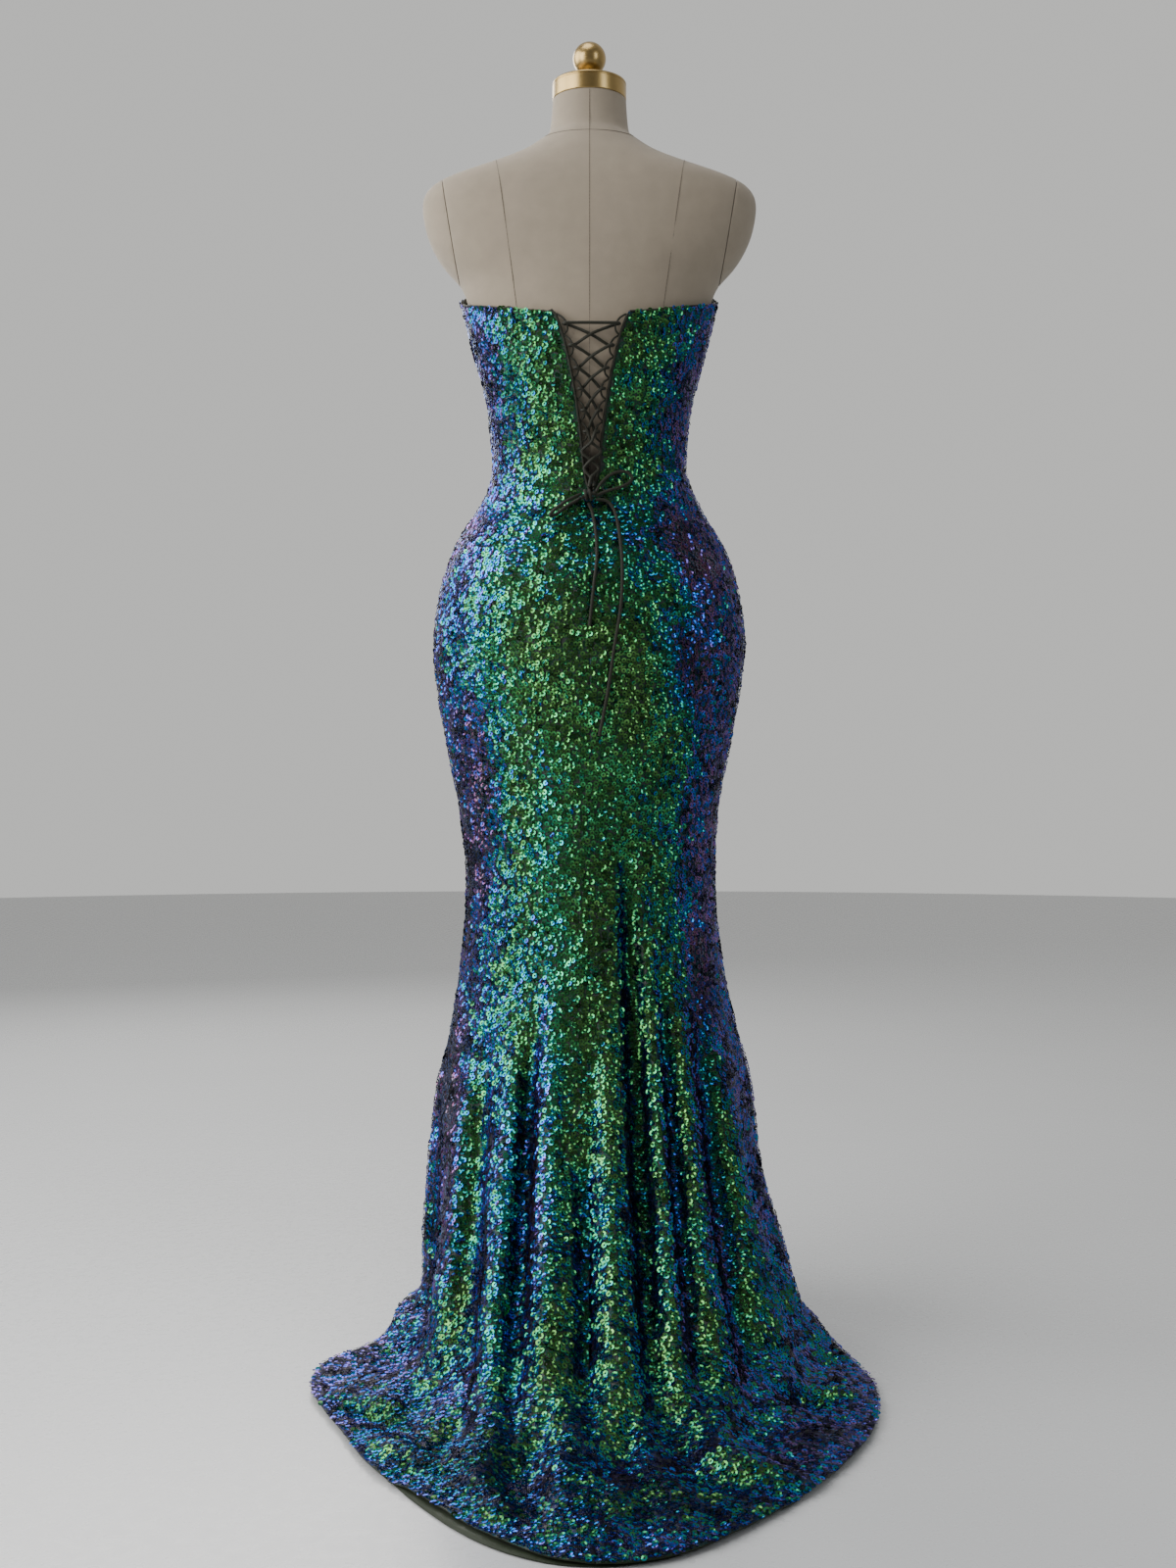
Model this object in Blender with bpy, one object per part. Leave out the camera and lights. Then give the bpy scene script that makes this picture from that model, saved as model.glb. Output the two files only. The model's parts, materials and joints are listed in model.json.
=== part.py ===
"""Strapless mermaid evening gown with a laced V back and a short train, worn on a limbless dress form.

Metres, +Z up. The front of the gown faces -Y and the train runs out along +Y. Left is the wearer's
left, +X. The origin is the centre of the stand's underside, on the pole's axis.

A place on the gown is given by its turn, in degrees round the body from the centre back (positive
towards the left, 180 at the centre front), and by its drop, counted in rows from the top edge.
"""

import bisect
import math

import bmesh
import bpy
from mathutils import Matrix, Vector

# ---------------------------------------------------------------- driving sizes
GAP = 0.0003
CLOTH = 0.002
EASE = 0.005
FACING = 0.001
SEAM_GAP = 0.00016

LACE = 0.0040
LACE_UNDER = -0.0025
LACE_ON_CLOTH = 0.0046
HOOK_REACH = 0.0042
HOOK_SPREAD = 60.0
LOOP_CORD = 0.0024
LOOP_DEPTH = 0.0072
LOOP_TIP_LIFT = 0.0015
LOOP_POINTS = 5
LOOP_ROUNDNESS = 0.7
HOOK_POINTS = 4
TURN_HALF_HEIGHT = 0.002
CORD_SIDES = 2

KNOT_HEIGHT = 1.0090
KNOT_ACROSS = 0.0012
KNOT_LIFT = 0.0092
KNOT_HALF = (0.0078, 0.0060, 0.0080)

PRINCESS_BACK = 38.0
SIDE_SEAM = 90.0
PRINCESS_FRONT = 142.0

BUST_HEIGHT = 1.205
BUST_TURN = 142.0
BUST_RISE = 0.016
BUST_REACH = 0.062
CUP_FULLNESS = 1.22
BUST_BODY_RADIUS = 0.13

NECK_PLATE_RADIUS = 0.046
NECK_PLATE_BOTTOM = 1.5190
NECK_PLATE_HEIGHT = 0.0225
NECK_PLATE_EDGE = 0.0025
NECK_PLATE_CROWN = 0.0020
NECK_PLATE_SHOULDER = (0.55, 0.0012)
FINIAL_FOOT = ((0.0125, 0.0), (0.0120, 0.0016), (0.0085, 0.0030))
BALL_ARC = (-64, 80, 8)
BALL_RADIUS = 0.0208
FINIAL_TOP = 1.592

POLE_RADIUS = 0.016
POLE_COLLAR_RADIUS = 0.0272
POLE_COLLAR_TOP = 0.020
POLE_COLLAR_SLOPE = 0.008
BASE_RADIUS = 0.150
BASE_HEIGHT = 0.014
BASE_EDGE = 0.006
ARM_CUT_TOP = (0.182, 1.416)
ARM_CUT_BOTTOM = (0.161, 1.2875)
ARM_SEAM = 0.0008
ARM_BLOCK = (0.100, 0.300, 0.200)
FORM_SEGMENTS = 36
FORM_UNDERSIDE = ((0.016, 0.80), (0.0145, 0.90), (0.009, 0.965))
FORM_HEIGHTS = (
    0.750, 0.800, 0.850, 0.900, 0.950, 0.985, 1.010, 1.035, 1.060, 1.095, 1.135, 1.170, 1.203,
    1.235, 1.266, 1.2875, 1.304, 1.325, 1.350, 1.372, 1.388, 1.400, 1.412, 1.424, 1.438, 1.450, 1.461,
    1.471, 1.483, 1.5187,
)

# ---------------------------------------------------------------- dress form sections
# Half width at the side, and the reach behind and before the pole, at each height.
FORM_COLUMNS = ("name", "z", "side", "back", "front")
FORM_ROWS = (
    ("under the hips", 0.7500, 0.1700, 0.1130, 0.1040),
    ("below full hip", 0.7900, 0.1815, 0.1210, 0.1110),
    ("full hip", 0.8450, 0.1850, 0.1250, 0.1135),
    ("hip", 0.9000, 0.1785, 0.1195, 0.1125),
    ("upper hip", 0.9600, 0.1595, 0.1010, 0.1060),
    ("high hip", 1.0000, 0.1340, 0.0860, 0.0970),
    ("below waist", 1.0350, 0.1170, 0.0770, 0.0905),
    ("waist", 1.0600, 0.1115, 0.0745, 0.0885),
    ("above waist", 1.1000, 0.1150, 0.0790, 0.0930),
    ("ribs", 1.1500, 0.1215, 0.0890, 0.1080),
    ("bust", 1.2050, 0.1370, 0.0960, 0.1200),
    ("chest", 1.2660, 0.1520, 0.0960, 0.1150),
    ("armhole", 1.2875, 0.1610, 0.0955, 0.1110),
    ("cap low", 1.3150, 0.1850, 0.0940, 0.1050),
    ("cap", 1.3500, 0.2020, 0.0910, 0.0970),
    ("cap widest", 1.3850, 0.2080, 0.0860, 0.0870),
    ("cap top", 1.4000, 0.2045, 0.0830, 0.0800),
    ("shoulder point", 1.4160, 0.1860, 0.0790, 0.0710),
    ("shoulder low", 1.4300, 0.1440, 0.0740, 0.0640),
    ("shoulder", 1.4450, 0.0990, 0.0680, 0.0570),
    ("shoulder high", 1.4600, 0.0710, 0.0600, 0.0510),
    ("neck base", 1.4750, 0.0515, 0.0520, 0.0470),
    ("neck", 1.4950, 0.0480, 0.0465, 0.0450),
    ("neck top", 1.5187, 0.0457, 0.0450, 0.0440),
)

# ---------------------------------------------------------------- skirt sections, outer face
# left and right: half widths; mid: where the section is widest, behind the pole.
SKIRT_COLUMNS = ("name", "z", "left", "right", "back", "front", "mid")
SKIRT_ROWS = (
    ("floor line", 0.0080, 0.2230, 0.2600, 0.5200, 0.2330, 0.1150),
    ("ankle", 0.0330, 0.1980, 0.2430, 0.4580, 0.2260, 0.1000),
    ("shin", 0.0940, 0.1870, 0.2250, 0.3780, 0.2080, 0.0750),
    ("low calf", 0.1600, 0.1850, 0.2090, 0.3050, 0.1880, 0.0500),
    ("calf", 0.2400, 0.1840, 0.1950, 0.2400, 0.1640, 0.0280),
    ("high calf", 0.2900, 0.1800, 0.1915, 0.2070, 0.1510, 0.0180),
    ("under knee", 0.3550, 0.1690, 0.1790, 0.1740, 0.1360, 0.0080),
    ("knee", 0.4410, 0.1570, 0.1630, 0.1440, 0.1220, 0.0020),
    ("narrowest", 0.5200, 0.1500, 0.1535, 0.1290, 0.1170, 0.0),
    ("low thigh", 0.5900, 0.1520, 0.1535, 0.1240, 0.1150, 0.0),
    ("thigh", 0.6650, 0.1635, 0.1615, 0.1220, 0.1145, 0.0),
    ("high thigh", 0.7400, 0.1795, 0.1770, 0.1240, 0.1150, 0.0),
)

# ---------------------------------------------------------------- edges
TOP_COLUMNS = ("name", "turn", "z")
TOP_ROWS = (
    ("centre front", -180.0, 1.272),
    ("right cup", -148.0, 1.300),
    ("right front seam", -118.0, 1.290),
    ("right side", -90.0, 1.266),
    ("right back seam", -55.0, 1.248),
    ("right corner", -19.0, 1.2315),
    ("left corner", 19.0, 1.2315),
    ("left back seam", 55.0, 1.247),
    ("left side", 90.0, 1.266),
    ("left front seam", 118.0, 1.290),
    ("left cup", 148.0, 1.300),
    ("centre front again", 180.0, 1.272),
)

HEM_COLUMNS = ("name", "turn", "x", "y")
HEM_ROWS = (
    ("front", -180.0, 0.000, -0.240),
    ("front right", -150.0, -0.132, -0.196),
    ("right front quarter", -122.0, -0.228, -0.085),
    ("right side", -100.0, -0.274, 0.050),
    ("right wing start", -86.0, -0.294, 0.150),
    ("right wing inner", -76.0, -0.309, 0.215),
    ("right wing tip", -66.0, -0.313, 0.285),
    ("right wing outer", -54.0, -0.292, 0.395),
    ("right rear", -40.0, -0.232, 0.520),
    ("right train", -24.0, -0.152, 0.628),
    ("right train end", -10.0, -0.072, 0.702),
    ("train end", 2.0, 0.008, 0.716),
    ("left train end", 14.0, 0.078, 0.670),
    ("left train", 28.0, 0.150, 0.582),
    ("left rear", 42.0, 0.210, 0.503),
    ("left wing outer", 56.0, 0.262, 0.385),
    ("left wing tip", 68.0, 0.306, 0.270),
    ("left wing inner", 76.0, 0.304, 0.186),
    ("left wing start", 84.0, 0.268, 0.133),
    ("left side", 96.0, 0.233, 0.062),
    ("left front quarter", 122.0, 0.203, -0.090),
    ("front left", 150.0, 0.122, -0.196),
    ("front again", 180.0, 0.000, -0.240),
)

# Half width of the laced V at each height, and where it closes into the centre seam.
V_COLUMNS = ("name", "z", "half")
V_ROWS = (
    ("closed", 1.0100, 0.0000),
    ("point", 1.0180, 0.0038),
    ("low", 1.0350, 0.0070),
    ("lower", 1.0650, 0.0105),
    ("middle", 1.1000, 0.0142),
    ("upper middle", 1.1355, 0.0192),
    ("upper", 1.1625, 0.0240),
    ("high", 1.1940, 0.0315),
    ("near top", 1.2140, 0.0370),
    ("corner", 1.2400, 0.0475),
)
V_CENTRE = -0.0022

# ---------------------------------------------------------------- lacing
# Heights where the lace turns. A hooked turn goes round the tip of a scallop of the loop strip;
# a plain one lies on the cloth, aside from the centre by the given amount.
LACE_COLUMNS = ("name", "z", "hooked", "aside")
LACE_ROWS = (
    ("top", 1.2155, True, 0.0),
    ("second", 1.1900, True, 0.0),
    ("third", 1.1640, True, 0.0),
    ("fourth", 1.1400, True, 0.0),
    ("fifth", 1.1150, True, 0.0),
    ("sixth", 1.0900, True, 0.0),
    ("seventh", 1.0660, False, 0.0105),
    ("eighth", 1.0450, False, 0.0080),
    ("knot", 1.0196, False, 0.0027),
)
LOOP_ENDS = (1.2280, 1.0775)

# Routes of the bow, from the middle of the knot: across towards the wearer's left, up, and out from
# the cloth's face, in metres.
ROUTE_COLUMNS = ("across", "up", "out")
BOW_LOOP_RIGHT = (
    (-0.0086, 0.0052, 0.0072),
    (-0.0150, 0.0159, 0.0085),
    (-0.0260, 0.0265, 0.0100),
    (-0.0370, 0.0305, 0.0105),
    (-0.0455, 0.0290, 0.0100),
    (-0.0495, 0.0228, 0.0095),
    (-0.0455, 0.0158, 0.0088),
    (-0.0360, 0.0106, 0.0080),
    (-0.0240, 0.0072, 0.0074),
    (-0.0087, 0.0002, 0.0072),
)
BOW_LOOP_LEFT = (
    (0.0084, -0.0012, 0.0050),
    (0.0150, -0.0051, 0.0045),
    (0.0260, -0.0120, 0.0045),
    (0.0375, -0.0230, 0.0070),
    (0.0430, -0.0285, 0.0135),
    (0.0380, -0.0255, 0.0200),
    (0.0260, -0.0140, 0.0200),
    (0.0160, -0.0052, 0.0150),
    (0.0086, 0.0008, 0.0104),
)
TAIL_RIGHT = (
    (-0.0084, -0.0050, 0.0070),
    (-0.0165, -0.0042, 0.0062),
    (-0.0240, -0.0075, 0.0050),
    (-0.0305, -0.0180, 0.0045),
    (-0.0355, -0.0435, 0.0045),
    (-0.0390, -0.0816, 0.0045),
    (-0.0375, -0.1310, 0.0045),
    (-0.0300, -0.1810, 0.0045),
    (-0.0225, -0.2320, 0.0046),
    (-0.0125, -0.2850, 0.0048),
)
TAIL_LEFT = (
    (0.0000, -0.0085, 0.0060),
    (-0.0022, -0.0132, 0.0050),
    (-0.0042, -0.0185, 0.0045),
    (-0.0085, -0.0430, 0.0045),
    (-0.0098, -0.0735, 0.0045),
    (-0.0066, -0.1060, 0.0045),
    (-0.0012, -0.1565, 0.0045),
)

# How far the olive facing shows past the hem; behind the cloth where negative.
PEEK_COLUMNS = ("name", "turn", "peek")
PEEK_ROWS = (
    ("right rear", -52.0, -0.007),
    ("right train", -20.0, -0.006),
    ("train end", 2.0, -0.001),
    ("left train end", 11.0, 0.009),
    ("left train", 20.0, 0.012),
    ("left train outer", 29.0, 0.008),
    ("left rear", 38.0, -0.002),
    ("left wing", 58.0, -0.006),
    ("left tip", 68.0, -0.007),
)
FACING_WIDTH = 0.045

# ---------------------------------------------------------------- folds of the skirt
# depth is outwards where positive; starts is the height where the fold fades in.
FOLD_COLUMNS = ("name", "turn", "half_width", "depth", "starts")
FOLD_ROWS = (
    ("centre trough", 0.5, 4.0, -0.009, 0.30),
    ("left of centre ridge", 13.0, 6.5, 0.014, 0.47),
    ("left trough", 24.0, 5.5, -0.014, 0.46),
    ("left ridge", 32.5, 5.0, 0.013, 0.42),
    ("left seam trough", 45.0, 7.0, -0.011, 0.40),
    ("left outer ridge", 60.0, 10.0, 0.012, 0.36),
    ("left side trough", 78.0, 9.0, -0.009, 0.38),
    ("left front ridge", 98.0, 11.0, 0.012, 0.40),
    ("left front trough", 119.0, 10.0, -0.010, 0.37),
    ("front ridge left", 140.0, 11.0, 0.013, 0.43),
    ("front trough", 162.0, 10.0, -0.010, 0.40),
    ("front ridge", -175.0, 11.0, 0.010, 0.36),
    ("front trough right", -153.0, 10.0, -0.009, 0.42),
    ("right front ridge", -130.0, 11.0, 0.013, 0.39),
    ("right front trough", -108.0, 10.0, -0.010, 0.36),
    ("right side ridge", -86.0, 11.0, 0.012, 0.41),
    ("right side trough", -74.0, 8.0, -0.010, 0.37),
    ("right outer ridge", -59.0, 7.0, 0.013, 0.43),
    ("right seam trough", -47.5, 6.0, -0.012, 0.44),
    ("right ridge", -37.5, 5.0, 0.012, 0.46),
    ("right inner trough", -30.0, 4.0, -0.007, 0.48),
    ("right inner ridge", -24.5, 4.0, 0.010, 0.48),
    ("right trough", -17.5, 4.5, -0.016, 0.60),
    ("right of centre ridge", -7.5, 5.0, 0.011, 0.44),
)

# Ripples of the cloth that lies on the floor: heights where it leaves the floor line.
RIPPLE_COLUMNS = ("name", "turn", "half_width", "rise")
RIPPLE_ROWS = (
    ("left wing ripple", 64.0, 8.0, 0.022),
    ("left rear ripple", 44.0, 7.0, 0.016),
    ("left train ripple", 27.0, 7.0, 0.024),
    ("centre ripple", 4.0, 7.0, 0.026),
    ("right centre ripple", -14.0, 5.0, 0.016),
    ("right train ripple", -29.0, 6.5, 0.025),
    ("right rear ripple", -48.0, 7.0, 0.018),
    ("right wing ripple", -68.0, 8.0, 0.015),
)

ROW_HEIGHTS = (
    1.266, 1.236, 1.205, 1.172, 1.135, 1.095, 1.060, 1.035, 1.010, 0.985, 0.950, 0.900, 0.840, 0.760,
    0.670, 0.580, 0.500, 0.430, 0.360, 0.290, 0.225, 0.160, 0.100, 0.050, 0.008,
)
TRAIN_ROWS = 3
FLOOR_CLOTH = FACING + GAP + CLOTH
HANGING_TOP = 0.036
HANGING_HEM = 0.0045
TOP_BLEND = 1.125

# Where the gown follows the form, and the heights and lengths over which its shapes fade in.
ON_FORM = (0.80, 1.32)
FOLD_FULL_HEIGHT = 0.10
FOLD_FLATTENS = 0.05
FOLD_ON_FLOOR = 0.35
FLOOR_BLEND = 0.050
HANGS_UNDER = 0.015
LIES_OVER = 0.075
RIPPLE_FADE = 1.5
SEAM_DRIFT = (0.8, 1.0)

# Steps for reading the slope of a face.
TURN_STEP = 1.2
ROW_STEP = 0.25
NEAR_TURN = 1.0
NEAR_HEIGHT = 0.01

# Colours of the parts, linear, with roughness and metallic.
FINISHES = {
    "sequin_cloth": ((0.010, 0.090, 0.050), 0.35, 0.4),
    "olive_lining": ((0.050, 0.060, 0.030), 0.70, 0.0),
    "olive_cord": ((0.030, 0.032, 0.018), 0.60, 0.0),
    "linen": ((0.520, 0.460, 0.390), 0.90, 0.0),
    "brass": ((0.480, 0.330, 0.110), 0.32, 1.0),
    "black_steel": ((0.030, 0.030, 0.032), 0.45, 0.8),
}


# ---------------------------------------------------------------- tables and curves
def column(rows, names, name):
    place = names.index(name)
    return [row[place] for row in rows]


def smooth_read(places, values, place):
    """A smooth curve through the values, read at one place, which is held inside the ends."""
    place = min(max(place, places[0]), places[-1])
    i = min(max(bisect.bisect_right(places, place) - 1, 0), len(places) - 2)
    span = places[i + 1] - places[i]
    part = (place - places[i]) / span

    def slope(k):
        low, high = max(k - 1, 0), min(k + 1, len(places) - 1)
        return (values[high] - values[low]) / (places[high] - places[low])

    rise = values[i + 1] - values[i]
    start, end = slope(i) * span, slope(i + 1) * span
    return (
        values[i]
        + part * start
        + part * part * (3 * rise - 2 * start - end)
        + part ** 3 * (start + end - 2 * rise)
    )


def smooth_step(low, high, value):
    part = min(max((value - low) / (high - low), 0.0), 1.0)
    return part * part * (3 - 2 * part)


def turn_between(turn, other):
    return (turn - other + 180) % 360 - 180


def bell(distance, half_width):
    part = abs(distance) / (1.6 * half_width)
    return 0.0 if part >= 1 else (1 - part * part) ** 2


def smooth_route(points, count):
    """Points at even steps along a smooth curve through the given ones."""
    lengths = [0.0]
    for first, second in zip(points, points[1:]):
        lengths.append(lengths[-1] + (Vector(second) - Vector(first)).length)
    route = []
    for step in range(count):
        place = lengths[-1] * step / (count - 1)
        route.append(Vector([smooth_read(lengths, [p[k] for p in points], place) for k in range(3)]))
    return route


# ---------------------------------------------------------------- the shape of the body and the gown
FORM_Z = column(FORM_ROWS, FORM_COLUMNS, "z")
FORM_SIZES = [column(FORM_ROWS, FORM_COLUMNS, name) for name in ("side", "back", "front")]


def gown_rows():
    """The skirt's rows, and above them the form's own with the ease added."""
    rows = [row[1:] for row in SKIRT_ROWS]
    for _, z, side, back, front in FORM_ROWS:
        if ON_FORM[0] < z < ON_FORM[1]:
            rows.append((z, side + EASE, side + EASE, back + EASE, front + EASE, 0.0))
    return rows


GOWN_ROWS = gown_rows()
GOWN_Z = [row[0] for row in GOWN_ROWS]
GOWN_SIZES = [[row[k] for row in GOWN_ROWS] for k in range(1, 6)]


def cup_rise(turn, z):
    """How far the bust stands out of the plain section."""
    round_body = BUST_BODY_RADIUS * math.radians(turn_between(abs(turn), BUST_TURN))
    away = math.hypot(round_body, z - BUST_HEIGHT) / BUST_REACH
    return 0.0 if away >= 1 else BUST_RISE * (1 - away * away) ** 2


def section_point(turn, z, left, right, back, front, mid, rise=0.0):
    angle = math.radians(turn)
    side = left if math.sin(angle) > 0 else right
    reach = back - mid if math.cos(angle) > 0 else front + mid
    return Vector(((side + rise) * math.sin(angle), mid + (reach + rise) * math.cos(angle), z))


def form_point(turn, z):
    side, back, front = (smooth_read(FORM_Z, sizes, z) for sizes in FORM_SIZES)
    return section_point(turn, z, side, side, back, front, 0.0, cup_rise(turn, z))


def gown_section(turn, z, rise=0.0):
    sizes = [smooth_read(GOWN_Z, values, z) for values in GOWN_SIZES]
    return section_point(turn, z, *sizes, rise + CUP_FULLNESS * cup_rise(turn, z))


def fold_rise(turn, z):
    rise = 0.0
    for _, at, half_width, depth, starts in FOLD_ROWS:
        off_floor = FOLD_ON_FLOOR + (1 - FOLD_ON_FLOOR) * smooth_step(0.0, FOLD_FLATTENS, z)
        grown = smooth_step(starts, FOLD_FULL_HEIGHT, z) * off_floor
        rise += depth * grown * bell(turn_between(turn, at), half_width)
    return rise


def hem_point(turn):
    turns = column(HEM_ROWS, HEM_COLUMNS, "turn")
    x = smooth_read(turns, column(HEM_ROWS, HEM_COLUMNS, "x"), turn)
    y = smooth_read(turns, column(HEM_ROWS, HEM_COLUMNS, "y"), turn)
    return Vector((x, y, 0.0))


def ripple_rise(turn):
    rows = RIPPLE_ROWS
    return sum(rise * bell(turn_between(turn, at), width) for _, at, width, rise in rows)


def top_height(turn):
    turns = column(TOP_ROWS, TOP_COLUMNS, "turn")
    return smooth_read(turns, column(TOP_ROWS, TOP_COLUMNS, "z"), turn)


def train_point(turn, part):
    """Part of the way from the floor line to the hem: on the floor behind, hanging in front."""
    start = gown_section(turn, ROW_HEIGHTS[-1], fold_rise(turn, ROW_HEIGHTS[-1]))
    end = hem_point(turn)
    lies_flat = smooth_step(HANGS_UNDER, LIES_OVER, (end - start).xy.length)
    point = start.lerp(end, part)
    on_floor = FLOOR_CLOTH + ripple_rise(turn) * (1 - part) ** RIPPLE_FADE
    hanging = HANGING_TOP + (HANGING_HEM - HANGING_TOP) * part
    point.z = hanging + (on_floor - hanging) * lies_flat
    return point


def gown_point(turn, row):
    """The outer face of the cloth; row may be a fraction."""
    turn = turn_between(turn, 0.0)
    last = len(ROW_HEIGHTS) - 1
    if row >= last:
        return train_point(turn, min((row - last) / TRAIN_ROWS, 1.0))
    k = min(max(int(row), 0), last - 1)
    z = ROW_HEIGHTS[k] + (row - k) * (ROW_HEIGHTS[k + 1] - ROW_HEIGHTS[k])
    z += (top_height(turn) - ROW_HEIGHTS[0]) * smooth_step(TOP_BLEND, ROW_HEIGHTS[0], z)
    point = gown_section(turn, z, fold_rise(turn, z))
    near_floor = smooth_step(FLOOR_BLEND, ROW_HEIGHTS[-1], z)
    if near_floor > 0:
        point.z += near_floor * (train_point(turn, 0.0).z - ROW_HEIGHTS[-1])
    return point


def gown_normal(turn, row):
    """Points out of the cloth."""
    last = len(ROW_HEIGHTS) - 1 + TRAIN_ROWS
    low, high = max(row - ROW_STEP, 0.0), min(row + ROW_STEP, last)
    round_body = gown_point(turn + TURN_STEP, row) - gown_point(turn - TURN_STEP, row)
    down = gown_point(turn, high) - gown_point(turn, low)
    return down.cross(round_body).normalized()


def v_half(z):
    return smooth_read(column(V_ROWS, V_COLUMNS, "z"), column(V_ROWS, V_COLUMNS, "half"), z)


def v_turn(row, side):
    """The turn of the V's edge on one side, or the centre seam where the V is closed."""
    turn = 0.0
    for _ in range(4):
        point = gown_point(turn, row)
        half = v_half(point.z) if point.z > V_ROWS[0][1] else 0.0
        centre = V_CENTRE if half else V_CENTRE * smooth_step(*SEAM_DRIFT, point.z)
        wanted = centre + side * half
        width = gown_section(90.0 * side, point.z).x * side
        turn = math.degrees(math.asin(wanted / width))
    return turn


# ---------------------------------------------------------------- building
def clear_scene():
    for obj in list(bpy.data.objects):
        bpy.data.objects.remove(obj, do_unlink=True)


def finish(name):
    """The material of that name, made once."""
    found = bpy.data.materials.get(name)
    if found:
        return found
    colour, roughness, metallic = FINISHES[name]
    made = bpy.data.materials.new(name)
    made.use_nodes = True
    shader = made.node_tree.nodes["Principled BSDF"]
    shader.inputs["Base Color"].default_value = (*colour, 1.0)
    shader.inputs["Roughness"].default_value = roughness
    shader.inputs["Metallic"].default_value = metallic
    made.diffuse_color = (*colour, 1.0)
    return made


def object_of(name, data, finish_name):
    data.materials.append(finish(finish_name))
    obj = bpy.data.objects.new(name, data)
    bpy.context.collection.objects.link(obj)
    return obj


def mesh_object(name, bm, finish_name, sharp=40.0):
    bmesh.ops.recalc_face_normals(bm, faces=bm.faces[:])
    mesh = bpy.data.meshes.new(name)
    bm.to_mesh(mesh)
    bm.free()
    mesh.shade_smooth()
    mesh.set_sharp_from_angle(angle=math.radians(sharp))
    return object_of(name, mesh, finish_name)


def wall(name, columns, rows, place, finish_name):
    """A closed wall. place(column, row, inner) gives a point of its outer or its inner face."""
    bm = bmesh.new()
    bmesh.ops.create_grid(bm, x_segments=columns, y_segments=rows, size=0.5)
    outer = bm.verts[:]
    inner = [
        item for item in bmesh.ops.extrude_face_region(bm, geom=bm.faces[:])["geom"]
        if isinstance(item, bmesh.types.BMVert)
    ]
    grid = {}
    for corners, is_inner in ((outer, False), (inner, True)):
        for corner in corners:
            across = round((corner.co.x + 0.5) * columns)
            down = round((corner.co.y + 0.5) * rows)
            corner.co = place(across, down, is_inner)
            grid[across, down, is_inner] = corner
    # Both panels of a seam split their edge faces alike, so that the gap stays even where it twists.
    for across in (0, columns):
        for down in range(rows):
            pair = [grid[across, down, False], grid[across, down + 1, True]]
            bmesh.ops.connect_vert_pair(bm, verts=pair)
    return mesh_object(name, bm, finish_name)


def panel(name, columns, start, end):
    """A gown panel between two seams. start and end give each seam's turn at a row."""
    rows = len(ROW_HEIGHTS) - 1 + TRAIN_ROWS
    cache = {}

    def place(across, down, inner):
        if (across, down) not in cache:
            first, last = start(down), end(down)
            turn = first + (last - first) * across / columns
            point = gown_point(turn, down)
            normal = gown_normal(turn, down)
            ahead = (gown_point(turn + NEAR_TURN, down) - gown_point(turn - NEAR_TURN, down)).normalized()
            if across == 0:
                point = point + ahead * SEAM_GAP
            if across == columns:
                point = point - ahead * SEAM_GAP
            cache[across, down] = (point, normal)
        point, normal = cache[across, down]
        return point - normal * CLOTH if inner else point

    return wall(name, columns, rows, place, "sequin_cloth")


def make_panels():
    steady = {turn: (lambda row, turn=turn: turn) for turn in (
        -PRINCESS_FRONT, -SIDE_SEAM, -PRINCESS_BACK, PRINCESS_BACK, SIDE_SEAM, PRINCESS_FRONT,
    )}
    panel("panel_centre_back_left", 11, lambda row: v_turn(row, 1), steady[PRINCESS_BACK])
    panel("panel_centre_back_right", 11, steady[-PRINCESS_BACK], lambda row: v_turn(row, -1))
    panel("panel_side_back_left", 11, steady[PRINCESS_BACK], steady[SIDE_SEAM])
    panel("panel_side_back_right", 11, steady[-SIDE_SEAM], steady[-PRINCESS_BACK])
    panel("panel_side_front_left", 9, steady[SIDE_SEAM], steady[PRINCESS_FRONT])
    panel("panel_side_front_right", 9, steady[-PRINCESS_FRONT], steady[-SIDE_SEAM])
    panel("panel_centre_front", 13, steady[PRINCESS_FRONT], lambda row: 360 - PRINCESS_FRONT)


def back_point(x, z, lift):
    """Over the centre back, at a distance out from the cloth's outer face."""
    width = gown_section(90.0, z).x
    turn = math.degrees(math.asin(x / width))
    point = gown_section(turn, z, fold_rise(turn, z))
    around = gown_section(turn + NEAR_TURN, z) - gown_section(turn - NEAR_TURN, z)
    up = gown_section(turn, z + NEAR_HEIGHT) - gown_section(turn, z - NEAR_HEIGHT)
    out = around.cross(up).normalized()
    return point + out * lift * math.copysign(1.0, out.y)


def cord_object(name, points, diameter):
    curve = bpy.data.curves.new(name, "CURVE")
    curve.dimensions = "3D"
    curve.bevel_depth = diameter / 2
    curve.bevel_resolution = CORD_SIDES
    curve.use_fill_caps = True
    spline = curve.splines.new("POLY")
    spline.points.add(len(points) - 1)
    for spline_point, point in zip(spline.points, points):
        spline_point.co = (*point, 1.0)
    spline.use_smooth = True
    return object_of(name, curve, "olive_cord")


def loop_tip(z, side):
    """Across from the V's middle to the middle of the strip's cord at the tip of a scallop."""
    return side * (v_half(z) - LOOP_CORD / 2 - GAP - LOOP_DEPTH)


def loop_heights():
    """Where the strip is sewn down, between the hooked turns of the lace."""
    hooked = [row[1] for row in LACE_ROWS if row[2]]
    between = [(first + second) / 2 for first, second in zip(hooked, hooked[1:])]
    return [LOOP_ENDS[0], *between, LOOP_ENDS[1]]


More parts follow.
